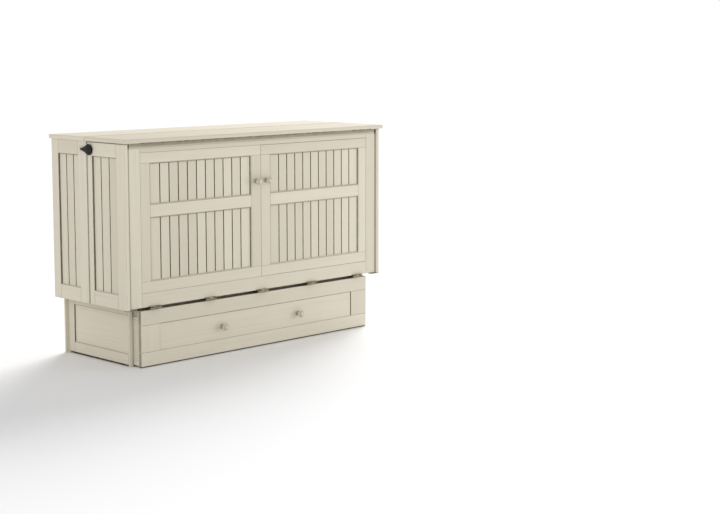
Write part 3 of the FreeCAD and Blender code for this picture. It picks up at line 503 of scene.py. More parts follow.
# ---- rows and scattered parts
class Growth(Wiring):
    """A Geometry Nodes group with named inputs; it ends in plain geometry with a finish."""

    def __init__(self, name, sockets):
        super().__init__(bpy.data.node_groups.new(name, "GeometryNodeTree"))
        add = self.tree.interface.new_socket
        for label, kind in (("Geometry", "Geometry"), *sockets, ("Finish", "Material")):
            add(label, in_out="INPUT", socket_type="NodeSocket" + kind)
        add("Geometry", in_out="OUTPUT", socket_type="NodeSocketGeometry")
        self.given = self.node("NodeGroupInput").outputs

    def copies(self, points, **turned):
        """The given part on each point."""
        part = self.node("GeometryNodeObjectInfo", {"Object": self.given["Part"]})
        return self.node("GeometryNodeInstanceOnPoints", {
            "Points": points, "Instance": part.outputs["Geometry"], **turned}).outputs[0]

    def finished(self, copies):
        whole = self.node("GeometryNodeRealizeInstances", {"Geometry": copies})
        finish = self.node("GeometryNodeSetMaterial", {
            "Geometry": whole.outputs[0], "Material": self.given["Finish"]})
        self.node("NodeGroupOutput", {"Geometry": finish.outputs[0]})
        return self.tree


def row_tree():
    """Copies of one part in a row, each with its own paint tone."""
    tree = Growth("row_of_parts", (
        ("Part", "Object"), ("Count", "Int"), ("First", "Vector"), ("Step", "Vector"), ("Seed", "Int")))
    given = tree.given
    line = tree.node("GeometryNodeMeshLine", {
        "Count": given["Count"], "Start Location": given["First"], "Offset": given["Step"]}, mode="OFFSET")
    tone = tree.node("FunctionNodeRandomValue", {"Seed": given["Seed"]})
    toned = tree.node("GeometryNodeStoreNamedAttribute", {
        "Geometry": tree.copies(line.outputs[0]), "Name": "slat_tone", "Value": tone.outputs[1],
    }, domain="INSTANCE")
    return tree.finished(toned.outputs[0])


def scatter_tree():
    """Copies of one part on every vertex of a host mesh, each turned at random."""
    tree = Growth("parts_on_points", (
        ("Part", "Object"), ("Turn", "Rotation"), ("Twist", "Vector"), ("Seed", "Int")))
    given = tree.given
    twist = tree.node("FunctionNodeRandomValue", {"Max": given["Twist"], "Seed": given["Seed"]},
                      data_type="FLOAT_VECTOR")
    spun = tree.node("GeometryNodeRotateInstances", {
        "Instances": tree.copies(given["Geometry"], Rotation=given["Turn"]), "Rotation": twist.outputs[0]})
    return tree.finished(spun.outputs[0])


ROW = row_tree()
SCATTER = scatter_tree()


def grown(tree, host_mesh, part_mesh, values):
    """The plain mesh that a tree makes of the part on a host mesh."""
    part, host = link("part", part_mesh), link("growing", host_mesh)
    values["Part"] = part
    modifier = host.modifiers.new("grow", "NODES")
    modifier.node_group = tree
    for item in tree.interface.items_tree:
        if item.in_out == "INPUT" and item.name in values:
            modifier[item.identifier] = values[item.name]
    bpy.context.view_layer.update()
    graph = bpy.context.evaluated_depsgraph_get()
    mesh = bpy.data.meshes.new_from_object(host.evaluated_get(graph))
    host.modifiers.remove(modifier)
    bpy.data.objects.remove(host)
    bpy.data.objects.remove(part)
    return mesh


def row_of(part_mesh, count, first, step, seed, material):
    """A mesh of count copies of a part, one step apart."""
    return grown(ROW, bpy.data.meshes.new("empty"), part_mesh, {
        "Count": count, "First": first, "Step": step, "Seed": seed, "Finish": material})


def on_points(part_mesh, points, turn, twist, seed, material):
    """A mesh of copies of a part on the points."""
    host = bpy.data.meshes.new("points")
    host.from_pydata([tuple(point) for point in points], [], [])
    return grown(SCATTER, host, part_mesh, {
        "Turn": turn, "Twist": twist, "Seed": seed, "Finish": material})


def joined(name, meshes):
    """Several meshes as one."""
    work = bmesh.new()
    for mesh in meshes:
        work.from_mesh(mesh)
    return mesh_from(work, name)


# ---- lathe and cut-out work
def in_metres(rows, swell=1.0):
    return [(distance * MM, radius * swell * MM, cove) for distance, radius, cove in rows]


def stacked_mesh(name, rings, signed_axis, start, degrees, cut_ends=False):
    """A closed body through rings (distance along the axis, cove 0 to 1, points), which may shrink
    to one point. The axis is 1, 2 or 3 for X, Y or Z, and negative where the work grows backwards."""
    along, way = abs(signed_axis) - 1, 1 if signed_axis > 0 else -1
    first, second = [axis for axis in (X, Y, Z) if axis != along]
    work = bmesh.new()
    cove = work.verts.layers.float.new("cove")
    stack = []
    for distance, shade, points in rings:
        stack.append([])
        for u, v in points:
            spot = Vector(start)
            spot[along] += way * distance
            spot[first] += u
            spot[second] += v
            vert = work.verts.new(spot)
            vert[cove] = shade
            stack[-1].append(vert)
    count = max(len(ring) for ring in stack)
    for near, far in zip(stack, stack[1:]):
        for k in range(count):
            nxt = (k + 1) % count
            corners = [near[k % len(near)], near[nxt % len(near)], far[nxt % len(far)], far[k % len(far)]]
            work.faces.new(list(dict.fromkeys(corners)))
    for ring in (stack[0], stack[-1]):
        if len(ring) > 1:
            work.faces.new(ring)
    bmesh.ops.recalc_face_normals(work, faces=work.faces)
    if cut_ends:
        bmesh.ops.triangulate(work, faces=[face for face in work.faces if len(face.verts) > 4])
    return mesh_from(work, name, degrees)


def turned_mesh(name, profile, signed_axis, start, count):
    """A body of revolution. Profile is (distance along the axis, radius, cove)."""
    turns = [math.tau * k / count for k in range(count)]
    rings = [(distance, cove, [(radius * math.cos(turn), radius * math.sin(turn))
                               for turn in (turns if radius else turns[:1])])
             for distance, radius, cove in profile]
    return stacked_mesh(name, rings, signed_axis, start, 40)


def plate_mesh(name, outline, signed_axis, start, steps):
    """A plate cut to an outline across the axis. Steps are (lift, inset share), from the foot."""
    middle_u, middle_v = (sum(parts) / len(outline) for parts in zip(*outline))
    rings = [(lift, 0, [(u + (middle_u - u) * inset, v + (middle_v - v) * inset) for u, v in outline])
             for lift, inset in steps]
    return stacked_mesh(name, rings, signed_axis, start, 30, cut_ends=True)


SCREW_RADIUS, SCREW_DOME = 3.6 * MM, 1.1 * MM
SCREW_SIDES = 24


def screw_head():
    """A countersunk screw head with a cross recess, pointing up +Z."""
    arm_reach, web_reach = SCREW_RADIUS * 0.62, SCREW_RADIUS * 0.195
    floor_level = SCREW_DOME * 0.2
    work = bmesh.new()
    centre = work.verts.new((0, 0, floor_level))
    inner, rim, base = [], [], []
    for k in range(SCREW_SIDES):
        angle = math.tau * k / SCREW_SIDES
        arm = k % (SCREW_SIDES // 4) == 0
        turn = vec(math.cos(angle), math.sin(angle), 0)
        inner.append(work.verts.new(turn * (arm_reach if arm else web_reach)
                                    + vec(0, 0, floor_level if arm else SCREW_DOME)))
        rim.append(work.verts.new(turn * SCREW_RADIUS * 0.82 + vec(0, 0, SCREW_DOME * 0.85)))
        base.append(work.verts.new(turn * SCREW_RADIUS))
    for k in range(SCREW_SIDES):
        nxt = (k + 1) % SCREW_SIDES
        work.faces.new((centre, inner[k], inner[nxt]))
        work.faces.new((inner[k], rim[k], rim[nxt], inner[nxt]))
        work.faces.new((rim[k], base[k], base[nxt], rim[nxt]))
    work.faces.new(list(reversed(base)))
    return mesh_from(work, "screw", 30)


# ---- beadboard
GROOVE = 2.9 * MM  # half the width of a groove between slats
SETTLED = 2.6 * MM  # dark corner between an infill and its frame: settled glaze and painted shade
SUNK_GLAZE = 0.1 * MM  # how far it goes into the infill
GLAZE_TUCK = 0.5 * MM  # and into the frame, where there is no bead
BEAD = 3 * MM
BEAD_TURNS = 4
NO_EDGE = 9.0  # board length and width where no edge is rubbed


def beadboard(seed, node, across, grooves):
    """Slats between grooves. The outer two are built here; the equal ones between them are grown."""
    low, high = infill_of(node)
    shade = plain_shade(GROOVE_GLAZE)
    ends = Joinery()
    for near, far in ((low[across], grooves[0]), (grooves[-1], high[across])):
        start, stop = Vector(low), Vector(high)
        start[across], stop[across] = near, far
        ends.board(start, stop, Z, GROOVE, shade=shade)
    count = len(grooves) - 1
    step = vec(0, 0, 0)
    step[across] = (grooves[-1] - grooves[0]) / count
    size = high - low
    size[across] = step[across]
    one = Joinery()
    one.board(-size / 2, size / 2, Z, GROOVE, shade=shade)
    first = (low + high) / 2
    first[across] = grooves[0] + step[across] / 2
    return joined("beadboard", [ends.finish("ends"),
                                row_of(one.finish("slat"), count, first, step, seed, CREAM)])


def corner_ring(work, low, high, across, beaded=False):
    """Runs round a clear opening, where its frame meets the infill: settled glaze darkened with painted
    shade and, in the doors, a mitred bead. The frame's face is at the end of the depth that lies further
    out."""
    depth_axis = X + Y - across
    outer, inner = low[depth_axis], high[depth_axis]
    if abs(outer) < abs(inner):
        outer, inner = inner, outer
    into = 1 if inner > outer else -1
    deep = abs(inner - outer)
    profile = []
    if beaded:
        profile.append((-BEAD, 0.0))
        for k in range(1, BEAD_TURNS + 1):
            angle = math.pi / 2 * k / BEAD_TURNS
            profile.append((BEAD * (math.sin(angle) - 1), BEAD * (1 - math.cos(angle))))
    floor_level = deep + SUNK_GLAZE
    profile += [(0.0, deep - SETTLED), (SETTLED, floor_level),
                (-BEAD if beaded else -GLAZE_TUCK, floor_level)]
    rings = []
    for inset, depth in profile:
        ring = []
        left, right = low[across] + inset, high[across] - inset
        under, over = low.z + inset, high.z - inset
        for side, level in ((left, under), (right, under), (right, over), (left, over)):
            spot = vec(0, 0, level)
            spot[across] = side
            spot[depth_axis] = outer + into * depth
            ring.append(work.mesh.verts.new(spot))
        rings.append(ring)
    number = random.random()
    for place, (near, far) in enumerate(zip(rings, rings[1:] + rings[:1])):
        for k in range(4):
            nxt = (k + 1) % 4
            face = work.mesh.faces.new((near[k], near[nxt], far[nxt], far[k]))
            if beaded and place < BEAD_TURNS:
                glaze = RIM_GLAZE if place else JOINT_GLAZE
            else:
                glaze = LIT_SILL_GLAZE if k == 0 else INSIDE_GLAZE_AND_SHADE
            run = Z if k % 2 else across
            for loop in face.loops:
                loop[work.place] = (loop.vert.co[run], loop.vert.co[depth_axis] - outer, number)
                loop[work.span] = (NO_EDGE, NO_EDGE, glaze)
    bmesh.ops.recalc_face_normals(work.mesh, faces=work.mesh.faces)


def side_ring(work, outside, clear_low, clear_high, sign):
    """The settled glaze and painted shade round an opening in a left or right side."""
    near, far = sorted((outside, inner_outer(clear_low, clear_high, sign)[1]))
    corner_ring(work, vec(near, clear_low.y, clear_low.z), vec(far, clear_high.y, clear_high.z), Y)


# ---- front panel
DOOR_LINE = 1.5 * MM  # half the drawn gap round a door
DOOR_GAPS = {"left": 0.8 * MM, "right": 1.9 * MM}  # its real width
MID_RAIL = (692 * MM, 755 * MM)
DOOR_END_SLAT = 60 * MM
DOOR_GROOVES = 10
BEAD_SETBACK = 0.2 * MM  # the bead starts this far behind the door's face
FRONT_LIP = 3 * MM  # the front hangs a little over its hinge leaves
SHADED_EDGE = 7.5 * MM  # painted shade beside the side panels
EDGE_SHADE_SHARE = 0.5
SOFT_JOINT = 0.28  # joints rubbed nearly clean
# painted shadow under the slab's overhang: share of the glaze colour, and its lower and upper end below the
# top
SLAB_SHADOW_BANDS = ((0.24, 23 * MM, 14 * MM), (0.50, 14 * MM, 0.0))


def front_panel():
    low, high = box_of("front_frame")
    corner = vec(DOOR_LINE, 0, DOOR_LINE)
    low.z -= FRONT_LIP
    high.z -= HAIR
    work = Joinery()
    frame_round(work, low, high, X, box_of("door_frame_left")[0] - corner,
                box_of("door_frame_right")[1] + corner, joint=SOFT_JOINT, inside=SOFT_JOINT)
    face = (low.y - PROUD, low.y + SKIN)
    # painted shade beside the side panels
    for x_range in ((low.x, low.x + SHADED_EDGE), (high.x - SHADED_EDGE, high.x)):
        work.strip(x_range, face, (low.z, high.z), Z, EDGE_SHADE_SHARE)
    # painted shadow under the slab's overhang
    for share, bottom, top in SLAB_SHADOW_BANDS:
        work.strip((low.x, high.x), face, (high.z - bottom, high.z - top), X, share)
    work.piece("front_frame_boards", CREAM, "front", "front_frame")
    for side, sign in SIDES:
        door(side, sign)


def door(side, sign):
    """A fixed door of the front: frame, middle rail, beads and beadboard."""
    low, high = box_of("door_frame_" + side)
    slack = DOOR_LINE - DOOR_GAPS[side] / 2
    low, high = low - vec(slack, 0, slack), high + vec(slack, 0, slack)
    clear_low, clear_high = opening_of("door_board_" + side)
    inner_low = clear_low - vec(BEAD, 0, BEAD)
    inner_high = clear_high + vec(BEAD, 0, BEAD)
    work = Joinery()
    frame_round(work, low, high, X, inner_low, inner_high, rails_over=True, joint=SOFT_JOINT)
    work.board(vec(inner_low.x, low.y, MID_RAIL[0] + BEAD), vec(inner_high.x, high.y, MID_RAIL[1] - BEAD),
               X, shade=frame_shade(low, high, X))
    for bottom, top in ((clear_low.z, MID_RAIL[0]), (MID_RAIL[1], clear_high.z)):
        corner_ring(work, vec(clear_low.x, low.y + BEAD_SETBACK, bottom),
                    vec(clear_high.x, clear_low.y, top), X, beaded=True)
    work.piece("door_frame_boards_" + side, CREAM, "front", "door_frame_" + side)
    first, last = clear_low.x + DOOR_END_SLAT, clear_high.x - DOOR_END_SLAT
    grooves = [first + (last - first) * k / (DOOR_GROOVES - 1) for k in range(DOOR_GROOVES)]
    mesh = beadboard(11 + sign, "door_board_" + side, X, grooves)
    settle("door_beadboard_" + side, mesh, CREAM, "front", "door_board_" + side)


# distance from the face and radius in millimetres, and the glaze its cove holds
KNOB = (
    (0, 11, 0.9), (0.9, 11.3, 0.3), (2.2, 10.9, 0.2), (3.2, 9.3, 1), (4.4, 8.3, 0.8),
    (9, 7.3, 0.3), (13.5, 7.2, 0.3), (17, 8.2, 0.9), (19, 9.4, 1), (19.8, 12, 0.9),
    (21.2, 14.8, 0.2), (24, 16.7, 0), (27, 17, 0), (30.5, 15.8, 0), (33.6, 12.6, 0.2),
    (34.6, 11, 0.9), (35.4, 10.4, 0.4), (36.8, 8.4, 0), (37.6, 5.2, 0), (38, 0, 0),
)
KNOB_SWELL = 1.08  # rounder than the bevelled solid


def knobs():
    for kind, body in (("door", "front"), ("drawer", "drawer")):
        for side, _ in SIDES:
            node = kind + "_knob_" + side
            low, high = box_of(node)
            middle = (low + high) / 2
            mesh = turned_mesh(node, in_metres(KNOB, KNOB_SWELL), -(Y + 1),
                               (middle.x, high.y, middle.z), 40)
            settle(node + "_turned", mesh, TURNED, body, node)


# ---- sides, back and slab
GROOVES_FROM_EDGE = {"rear_side": (48 * MM, 105 * MM), "side": (64 * MM, 126 * MM)}
STOP_WIDE = 9 * MM  # strip that closes the split between the half sides, painted dark as the shade in the split
STOP_BACK = (3 * MM, 12 * MM)  # how far behind their face it starts and ends
STOP_SHADE = plain_shade(0.6, 0.65)
BACK_STILE = 70 * MM
SLAB_EASE = 5 * MM  # rounded arris of the top slab
SLAB_ROUNDS = 4
SEAM_WIDE = 3 * MM  # glaze beside the seam of the slab
SEAM_PROUD = 0.1 * MM
SEAM_GLAZE = 0.85


def side_walls():
    for side, sign in SIDES:
        for kind, body in (("rear_side", "carcass"), ("side", "side_panel_" + side)):
            node, infill = kind + "_frame_" + side, kind + "_board_" + side
            low, high = box_of(node)
            outside = inner_outer(low, high, sign)[1]
            clear_low, clear_high = opening_of(infill)
            work = Joinery()
            frame_round(work, low, high, Y, clear_low, clear_high)
            side_ring(work, outside, clear_low, clear_high, sign)
            if kind == "rear_side":
                # the stop strip, painted dark as the shade in the split
                work.between([outside - sign * back for back in STOP_BACK],
                             (low.y - STOP_WIDE, low.y), (low.z, high.z), Z, shade=STOP_SHADE)
            work.piece(node + "_boards", CREAM, body, node)
            grooves = [clear_low.y + step for step in GROOVES_FROM_EDGE[kind]]
            mesh = beadboard(21 + sign, infill, Y, grooves)
            settle(kind + "_beadboard_" + side, mesh, CREAM, body, infill)


def back_wall():
    low, high = box_of("back_frame")
    clear_low, clear_high = opening_of("back_panel")
    work = Joinery()
    rails = ((low.z, clear_low.z), (clear_high.z, high.z))
    stiles = ((low.x, clear_low.x), (-BACK_STILE / 2, BACK_STILE / 2), (clear_high.x, high.x))
    panel_frame(work, low, high, X, rails, stiles)
    for near, far in zip(stiles, stiles[1:]):
        corner_ring(work, vec(near[1], clear_high.y, clear_low.z), vec(far[0], high.y, clear_high.z), X)
    work.piece("back_frame_boards", CREAM, "carcass", "back_frame")
    one_board("back_panel_boards", "back_panel", "carcass", X, box=infill_of("back_panel"))
    one_board("rear_batten_board", "rear_top_batten", "carcass", X, PLAIN)


def slab_boards(node, name, body, outer_sign):
    """Half of the top slab, its outer arris rounded."""
    low, high = box_of(node)
    outer, seam = (low.y, high.y) if outer_sign < 0 else (high.y, low.y)

    def rounded(a, b):
        at_end = abs(a.x - b.x) < SAME and abs(abs(a.x) - high.x) < SAME
        at_edge = abs(a.y - outer) < SAME and abs(b.y - outer) < SAME
        flat = abs(a.z - b.z) < SAME
        return (at_edge and (flat or at_end)) or (at_end and flat)

    work = Joinery()
    work.board(low, high, X, SLAB_EASE, SLAB_ROUNDS, rounded, plain_shade(0.0))
    work.strip((low.x + SLAB_EASE, high.x - SLAB_EASE), (seam, seam + outer_sign * SEAM_WIDE),
               (high.z - SKIN, high.z + SEAM_PROUD), X, SEAM_GLAZE)
    work.piece(name, CREAM, body, node)


# ---- base and drawer
FOOT_LIFT = 9 * MM  # the base side stands on its two ends
FOOT_WIDE = 14 * MM
SIDE_SETBACK = 12 * MM  # the base sides stop short of the front rail
FRONT_STILE = 12 * MM  # narrow front stile of the base sides
SIDE_LIP = (4 * MM, 12 * MM)  # closes the gap beside the drawer: thickness, depth
LIP_SHADE = plain_shade(0.3, 0.1)
SHADOW_BOARD_BACK = 3 * MM  # dark board painted as the shadow under the low rail, behind its face
SHADOW_BOARD_LIFT = 1 * MM
RAIL_INSET = 6 * MM
RAIL_FACE_SHADE, RAIL_REST = 0.85, 0.35  # painted shade in front, glaze elsewhere
END_BLOCK = 30 * MM
BLOCK_SHADE = plain_shade(0.2, 0.3)


def base():
    for side, sign in SIDES:
        node, infill = "base_side_frame_" + side, "base_side_panel_" + side
        low, high = box_of(node)
        low.y += SIDE_SETBACK
        clear_low, clear_high = opening_of(infill)
        clear_low.y = low.y + FRONT_STILE
        work = Joinery()
        shade = frame_shade(low, high, Y)
        for y_range, z_range, grain in (
                ((low.y, clear_low.y), (low.z, high.z), Z),
                ((clear_high.y, high.y), (FOOT_LIFT, high.z), Z),
                ((high.y - FOOT_WIDE, high.y), (low.z, FOOT_LIFT), Z),
                ((clear_low.y, clear_high.y), (FOOT_LIFT, clear_low.z), Y),
                ((clear_low.y, clear_high.y), (clear_high.z, high.z), Y)):
            work.between((low.x, high.x), y_range, z_range, grain, shade=shade)
        inner, outer = inner_outer(low, high, sign)
        work.between((inner, inner - sign * SIDE_LIP[0]), (low.y, low.y + SIDE_LIP[1]), (low.z, high.z),
                     Z, shade=LIP_SHADE)
        # dark board painted as the shadow in the gap under the side
        work.strip((inner, outer - sign * SHADOW_BOARD_BACK), (clear_low.y, high.y - FOOT_WIDE),
                   (low.z + SHADOW_BOARD_LIFT, FOOT_LIFT), Y, 1.0)
        side_ring(work, outer, clear_low, clear_high, sign)
        work.piece("base_side_boards_" + side, CREAM, "carcass", node)
        low, high = infill_of(infill)
        low.y = clear_low.y - TUCK
        one_board("base_side_infill_" + side, infill, "carcass", Y, box=(low, high))
        one_board("runner_board_" + side, "drawer_runner_" + side, "carcass", Y, PLAIN)
    one_board("base_back_board", "base_back", "carcass", X)
    front_rail()
    staves("base_deck_staves", "base_deck", "carcass", Y)


def front_rail():
    """The rail above the drawer, its front painted dark as the shade in the gap over the drawer, and the
    blocks that end it.
    """
    low, high = box_of("base_front_rail")
    low.x += RAIL_INSET
    high.x -= RAIL_INSET
    work = Joinery()
    # the front face is painted shade
    work.board(low, high, X, shade=lambda centre, flat, eased, normal:
               RAIL_FACE_SHADE if normal.y < -0.5 else RAIL_REST)
    for x_range in ((low.x, low.x + END_BLOCK), (high.x - END_BLOCK, high.x)):
        work.between(x_range, (high.y, high.y + SIDE_SETBACK), (low.z, high.z), Z, shade=BLOCK_SHADE)
    work.piece("base_front_rail_board", CREAM, "carcass", "base_front_rail")


DRAWER_LIP = 4 * MM  # the drawer front rises to close the gap
DRAWER_RIM_GLAZE_AND_SHADE = 0.6  # glaze and painted shade round the rim of the drawer front
SHADOW_STRIP_INSET = 2 * MM  # dark strip painted as the shadow under the drawer front: behind its faces
SHADOW_STRIP_DROP = 4 * MM
BLOCK_INSET = 2 * MM  # blocks above and below the drawer's sides, inside its front
BLOCK_DEEP = 42 * MM
BLOCK_TIP = 10 * MM  # shallower beside the rail
RAIL_ROOM = 1.5 * MM  # and this far below it


def drawer():
    low, high = box_of("drawer_front_frame")
    high.z += DRAWER_LIP
    clear_low, clear_high = opening_of("drawer_front_panel")
    work = Joinery()
    frame_round(work, low, high, X, clear_low, clear_high, rails_over=True, ends=DRAWER_RIM_GLAZE_AND_SHADE,
                tops=DRAWER_RIM_GLAZE_AND_SHADE)
    corner_ring(work, vec(clear_low.x, low.y, clear_low.z), vec(clear_high.x, clear_low.y, clear_high.z), X)
    # dark strip painted as the shadow under the drawer front
    work.strip((low.x + SHADOW_STRIP_INSET, high.x - SHADOW_STRIP_INSET), (low.y + SHADOW_STRIP_INSET, high.y - SHADOW_STRIP_INSET),
               (low.z - SHADOW_STRIP_DROP, low.z + SKIN), X, 1.0)
    work.piece("drawer_front_boards", CREAM, "drawer", "drawer_front_frame")
    one_board("drawer_front_infill", "drawer_front_panel", "drawer", X,
              box=infill_of("drawer_front_panel"))
    under_rail = box_of("base_front_rail")[0].z - RAIL_ROOM
    for side, _ in SIDES:
        side_low, side_high = box_of("drawer_side_" + side)
        work = Joinery()
        work.board(side_low, side_high, Y, shade=plain_shade(0.2))
        for depth, z_range in ((BLOCK_DEEP, (low.z + BLOCK_INSET, side_low.z)),
                               (BLOCK_DEEP, (side_high.z, under_rail)),
                               (BLOCK_TIP, (under_rail, high.z - BLOCK_INSET))):
            work.strip((side_low.x, side_high.x), (side_low.y, side_low.y + depth), z_range, Z, 0.0)
        work.piece("drawer_side_board_" + side, CREAM, "drawer", "drawer_side_" + side)
    for node in ("drawer_back", "drawer_bottom"):
        one_board(node + "_board", node, "drawer", X, PLAIN)


# ---- bed deck and foot section
LEG_FOOT = 100 * MM  # the rounded foot of a leg lies below this
LEG_FLAT = 0.5 * MM  # left flat at the tip of the half round


def bed_deck():
    staves("front_deck_staves", "front_deck", "front", Z)
    low, high = box_of("foot_deck")
    edges, ends = levels_of("foot_deck", X), levels_of("foot_deck", Z)
    work = Joinery()
    for z_range in ((low.z, ends[1]), (ends[-2], high.z)):
        work.between((low.x, high.x), (low.y, high.y), z_range, X, STAVE_EASE)
    for x_range in zip(edges[0::2], edges[1::2]):
        work.between(x_range, (low.y, high.y), (ends[1], ends[-2]), Z, STAVE_EASE)
    work.piece("foot_deck_slats", PLAIN, "foot_section", "foot_deck")
    work = Joinery()
    for low, high in solids_of("foot_deck_cleats"):
        work.board(low, high, Z, SOFT_EASE)
    work.piece("foot_cleat_boards", PLAIN, "foot_section", "foot_deck_cleats")


def leg_frame():
    """Two legs with a half-round foot at the pivot, and a bar between them."""
    low, high = box_of("foot_leg_frame")
    inner = min(abs(x) for x in levels_of("foot_leg_frame", X))
    bar = [z for z in levels_of("foot_leg_frame", Z) if low.z + LEG_FOOT < z < high.z - 0.1 * MM]
    half_round = (high.y - low.y) / 2 - LEG_FLAT

    def at_pivot(a, b):
        return abs(a.z - low.z) < SAME and abs(b.z - low.z) < SAME and abs(a.y - b.y) < SAME

    work = Joinery()
    for x_range in ((low.x, -inner), (inner, high.x)):
        work.between(x_range, (low.y, high.y), (low.z, high.z), Z, half_round, 8, at_pivot)
    work.between((-inner, inner), (low.y, high.y), (bar[0], bar[-1]), X, SOFT_EASE)
    work.piece("foot_leg_boards", PLAIN, "foot_legs", "foot_leg_frame")


# ---- hinges and screws
LID_KNUCKLE = 2.7 * MM  # radius
LID_LEAF = 1.3 * MM
LEAF_EASE = 0.3 * MM
LEAF_STEP = 2 * MM  # the upper leaf starts this far behind the lower one
LID_EYES = 62
EYE_SHARE = 0.94  # of the pitch; the rest is a gap
EYE_ROUND = 0.4 * MM
EYE_END = 0.8  # share of the radius at an eye's end
STRAP_LEAF = 3 * MM
SCREWS_ACROSS = (0.17, 0.5, 0.83)
SCREW_SUNK = 0.3 * MM
STRAP_SCREW_UP = 15 * MM
LEAF_SCREW_IN = 12 * MM


def lid_hinge():
    """A piano hinge: two thin leaves and fine knuckles that belong to them in turn."""
    low, high = box_of("lid_hinge_lower")
    axis_y, axis_z = low.y + LID_KNUCKLE, high.z - LID_KNUCKLE
    pitch = (high.x - low.x) / LID_EYES
    long, r = pitch * EYE_SHARE, LID_KNUCKLE
    profile = [(0, r * EYE_END, 0), (EYE_ROUND, r, 0), (long - EYE_ROUND, r, 0), (long, r * EYE_END, 0)]
    for k, (node, body) in enumerate((("lid_hinge_lower", "front"), ("lid_hinge_upper", "lid"))):
        start, stop = box_of(node)
        eye = turned_mesh("eye", profile, X + 1, (0, 0, 0), 16)
        first = (start.x + pitch * k + (pitch - long) / 2, axis_y, axis_z)
        eyes = row_of(eye, LID_EYES // 2, first, (pitch * 2, 0, 0), 31 + k, STEEL)
        start.y = axis_y + k * LEAF_STEP
        if node == "lid_hinge_upper":
            start.z = box_of("lid_board")[0].z - LID_LEAF
        stop.z = start.z + LID_LEAF
        leaf = Joinery()
        leaf.board(start, stop, X, LEAF_EASE)
        mesh = joined(node, [leaf.finish("leaf"), eyes])
        smooth_by_angle(mesh)
        settle(node + "_leaf", mesh, STEEL, body, node)


def screw_rows(name, spots, towards, body, seed):
    turn = vec(0, 0, 1).rotation_difference(Vector(towards)).to_euler()
    mesh = on_points(screw_head(), spots, turn, (0, 0, math.tau), seed, STEEL)
    smooth_by_angle(mesh)
    settle(name, mesh, STEEL, body)


def screws():
    """Round-headed screws in the leaves and plates of the folding mechanism."""
    face = STRAP_LEAF - SCREW_SUNK
    spots = [vec(low.x + (high.x - low.x) * share, high.y - face, low.z + STRAP_SCREW_UP)
             for low, high in solids_of("fold_hinge_straps") for share in SCREWS_ACROSS]
    screw_rows("strap_screws", spots, (0, -1, 0), "carcass", 41)
    spots = [vec(low.x + (high.x - low.x) * share, high.y - LEAF_SCREW_IN, high.z - face)
             for low, high in solids_of("fold_hinge_leaves") for share in SCREWS_ACROSS]
    screw_rows("leaf_screws", spots, (0, 0, -1), "front", 42)


# ---- latches
# distance from the side and radius, in millimetres; no glaze
ROSE = ((0, 19.5, 0), (1.4, 19.5, 0), (2.4, 18.6, 0), (4.0, 15.0, 0))
CAP = ((7.0, 9.6, 0), (10.6, 9.4, 0), (12.0, 8.2, 0), (12.8, 5.0, 0), (13.0, 0, 0))
# lift of a ring of the lever, and how far it is drawn in to its middle
LEVER_RINGS = ((0, 0.04), (0.8 * MM, 0.0), (5.0 * MM, 0.0), (6.8 * MM, 0.05), (8.4 * MM, 0.18),
               (9.4 * MM, 0.42), (9.8 * MM, 0.72))
LOBES = 11
HUB, SCALLOP = 25 * MM, 1.2 * MM
HUB_POINTS = 66
TAIL_ANGLE = math.radians(52)  # half the hub's opening at the tail
# the tail: distance from the pivot and half width, in millimetres
TAIL = ((22, 16.4), (30, 12.8), (38, 9.8), (46, 7.4), (54, 5.6), (60, 4.6), (63.4, 3.4), (65, 1.2))
KEEPER_EASE = 0.8 * MM


def latches():
    for side, sign in SIDES:
        low, high = box_of("latch_base_" + side)
        pivot = (low + high) / 2
        pivot.x = inner_outer(low, high, sign)[0]
        mesh = turned_mesh("rose", in_metres(ROSE), sign, pivot, 36)
        settle("latch_rose_" + side, mesh, IRON, "side_panel_" + side, "latch_base_" + side)
        pivot.x = inner_outer(*box_of("latch_lever_" + side), sign)[0]
        whole = joined("lever", [plate_mesh("lever", lever_outline(), sign, pivot, LEVER_RINGS),
                                 turned_mesh("cap", in_metres(CAP), sign, pivot, 28)])
        settle("latch_lever_scalloped_" + side, whole, IRON, "latch_" + side, "latch_lever_" + side)
        work = Joinery()
        work.board(*box_of("latch_keeper_" + side), Z, KEEPER_EASE, 2, shade=plain_shade(0.25))
        work.piece("latch_keeper_plate_" + side, CREAM, "carcass", "latch_keeper_" + side)


def lever_outline():
    """Scalloped hub with a tapering tail to the rear, (y, z) from the pivot."""
    points = []
    for k in range(HUB_POINTS + 1):
        angle = TAIL_ANGLE + (math.tau - 2 * TAIL_ANGLE) * k / HUB_POINTS
        radius = HUB + SCALLOP * math.cos(LOBES * (angle - math.pi))
        points.append((radius * math.cos(angle), radius * math.sin(angle)))
    tail = [(u * MM, v * MM) for u, v in TAIL]
    return points + [(u, -v) for u, v in tail] + tail[::-1]


front_panel()
knobs()
side_walls()
back_wall()
slab_boards("lid_board", "lid_slab", "lid", -1)
slab_boards("rear_top", "rear_slab", "carcass", 1)
base()
drawer()
bed_deck()
leg_frame()
lid_hinge()
screws()
latches()

# the hinge leaves, pivots and brackets stay as the solids are
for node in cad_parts.values():
    if not node.hide_render:
        node.data.materials.clear()
        node.data.materials.append(STEEL)

# ---- studio
CAMERA_SPOT = (-4.941, -5.8395, 1.518)
CAMERA_TURN = 45.27
CAMERA_DIP = 6.85
CAMERA_SHIFT = -0.0514
FILM_WIDE = 36  # in millimetres
FOCAL = 1535 / 720 * FILM_WIDE  # 1535 pixels in a picture 720 wide
WHITE = (1, 1, 1, 1)
FLOOR_REACH = 40

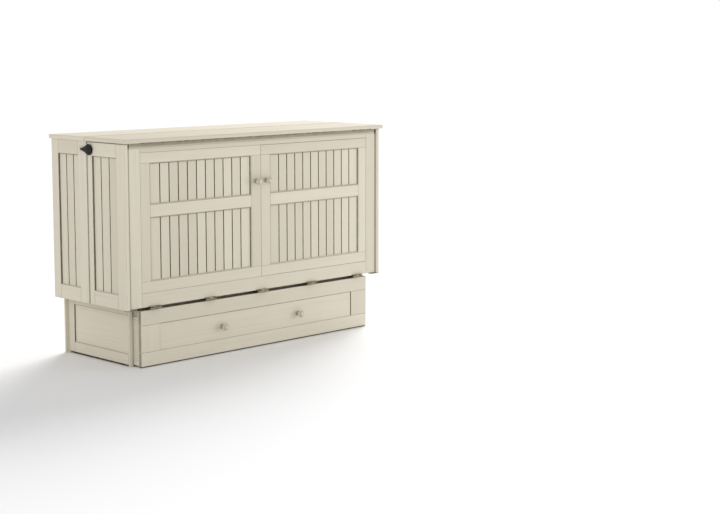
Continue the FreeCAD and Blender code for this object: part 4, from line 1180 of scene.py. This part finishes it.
camera = link("camera", bpy.data.cameras.new("camera"))
camera.data.sensor_width = FILM_WIDE
camera.data.lens = FOCAL
camera.data.shift_y = CAMERA_SHIFT
camera.location = CAMERA_SPOT
camera.rotation_euler = (math.radians(90 - CAMERA_DIP), 0, -math.radians(CAMERA_TURN))
bpy.context.scene.camera = camera
bpy.context.scene.view_settings.view_transform = "Standard"

# the world lights the bed evenly and shows white to the camera and to reflections
world = bpy.data.worlds.new("studio")
bpy.context.scene.world = world
world.use_nodes = True
studio = Wiring(world.node_tree)
sky = studio.tree.nodes["Background"]
sky.inputs["Color"].default_value = WHITE
sky.inputs["Strength"].default_value = 0.63
seen = studio.node("ShaderNodeBackground", {"Color": WHITE})
path = studio.node("ShaderNodeLightPath").outputs
either = studio.node("ShaderNodeMath", {0: path["Is Camera Ray"], 1: path["Is Glossy Ray"]},
                     operation="MAXIMUM")
blend = studio.node("ShaderNodeMixShader", {0: either.outputs[0], 1: sky.outputs[0], 2: seen.outputs[0]})
studio.feed(studio.tree.nodes["World Output"].inputs["Surface"], blend.outputs[0])


def lamp(name, kind, spot, towards, energy, **settings):
    light = bpy.data.lights.new(name, kind)
    light.energy = energy
    for key, value in settings.items():
        setattr(light, key, value)
    obj = link(name, light)
    obj.location = spot
    obj.rotation_euler = Vector(towards).to_track_quat("-Z", "Y").to_euler()
    return obj


# two soft suns, and a square light that doesn't show in the picture
OVERHEAD = (0, 0, 5)
FILL_SPOT = Vector((4.2, -3.9, 0.9))
FILL_AIM = Vector((0.3, 0, 0.55))
lamp("key", "SUN", OVERHEAD, (-0.80, -0.42, -0.44), 2.85, angle=math.radians(34))
lamp("low", "SUN", OVERHEAD, (0.93, 0.20, -0.30), 0.42, angle=math.radians(60))
lamp("fill", "AREA", FILL_SPOT, FILL_AIM - FILL_SPOT, 60, size=1.8).visible_camera = False

floor_mesh = bpy.data.meshes.new("floor")
corners = ((-1, -1), (1, -1), (1, 1), (-1, 1))
floor_mesh.from_pydata([(x * FLOOR_REACH, y * FLOOR_REACH, 0) for x, y in corners], [], [(0, 1, 2, 3)])
floor = link("floor", floor_mesh)
ground = Finish("studio_floor")
ground.fixed(Base_Color=(0.93, 0.93, 0.935, 1), Roughness=0.9, Specular_IOR_Level=0.1)
floor.data.materials.append(ground.material)
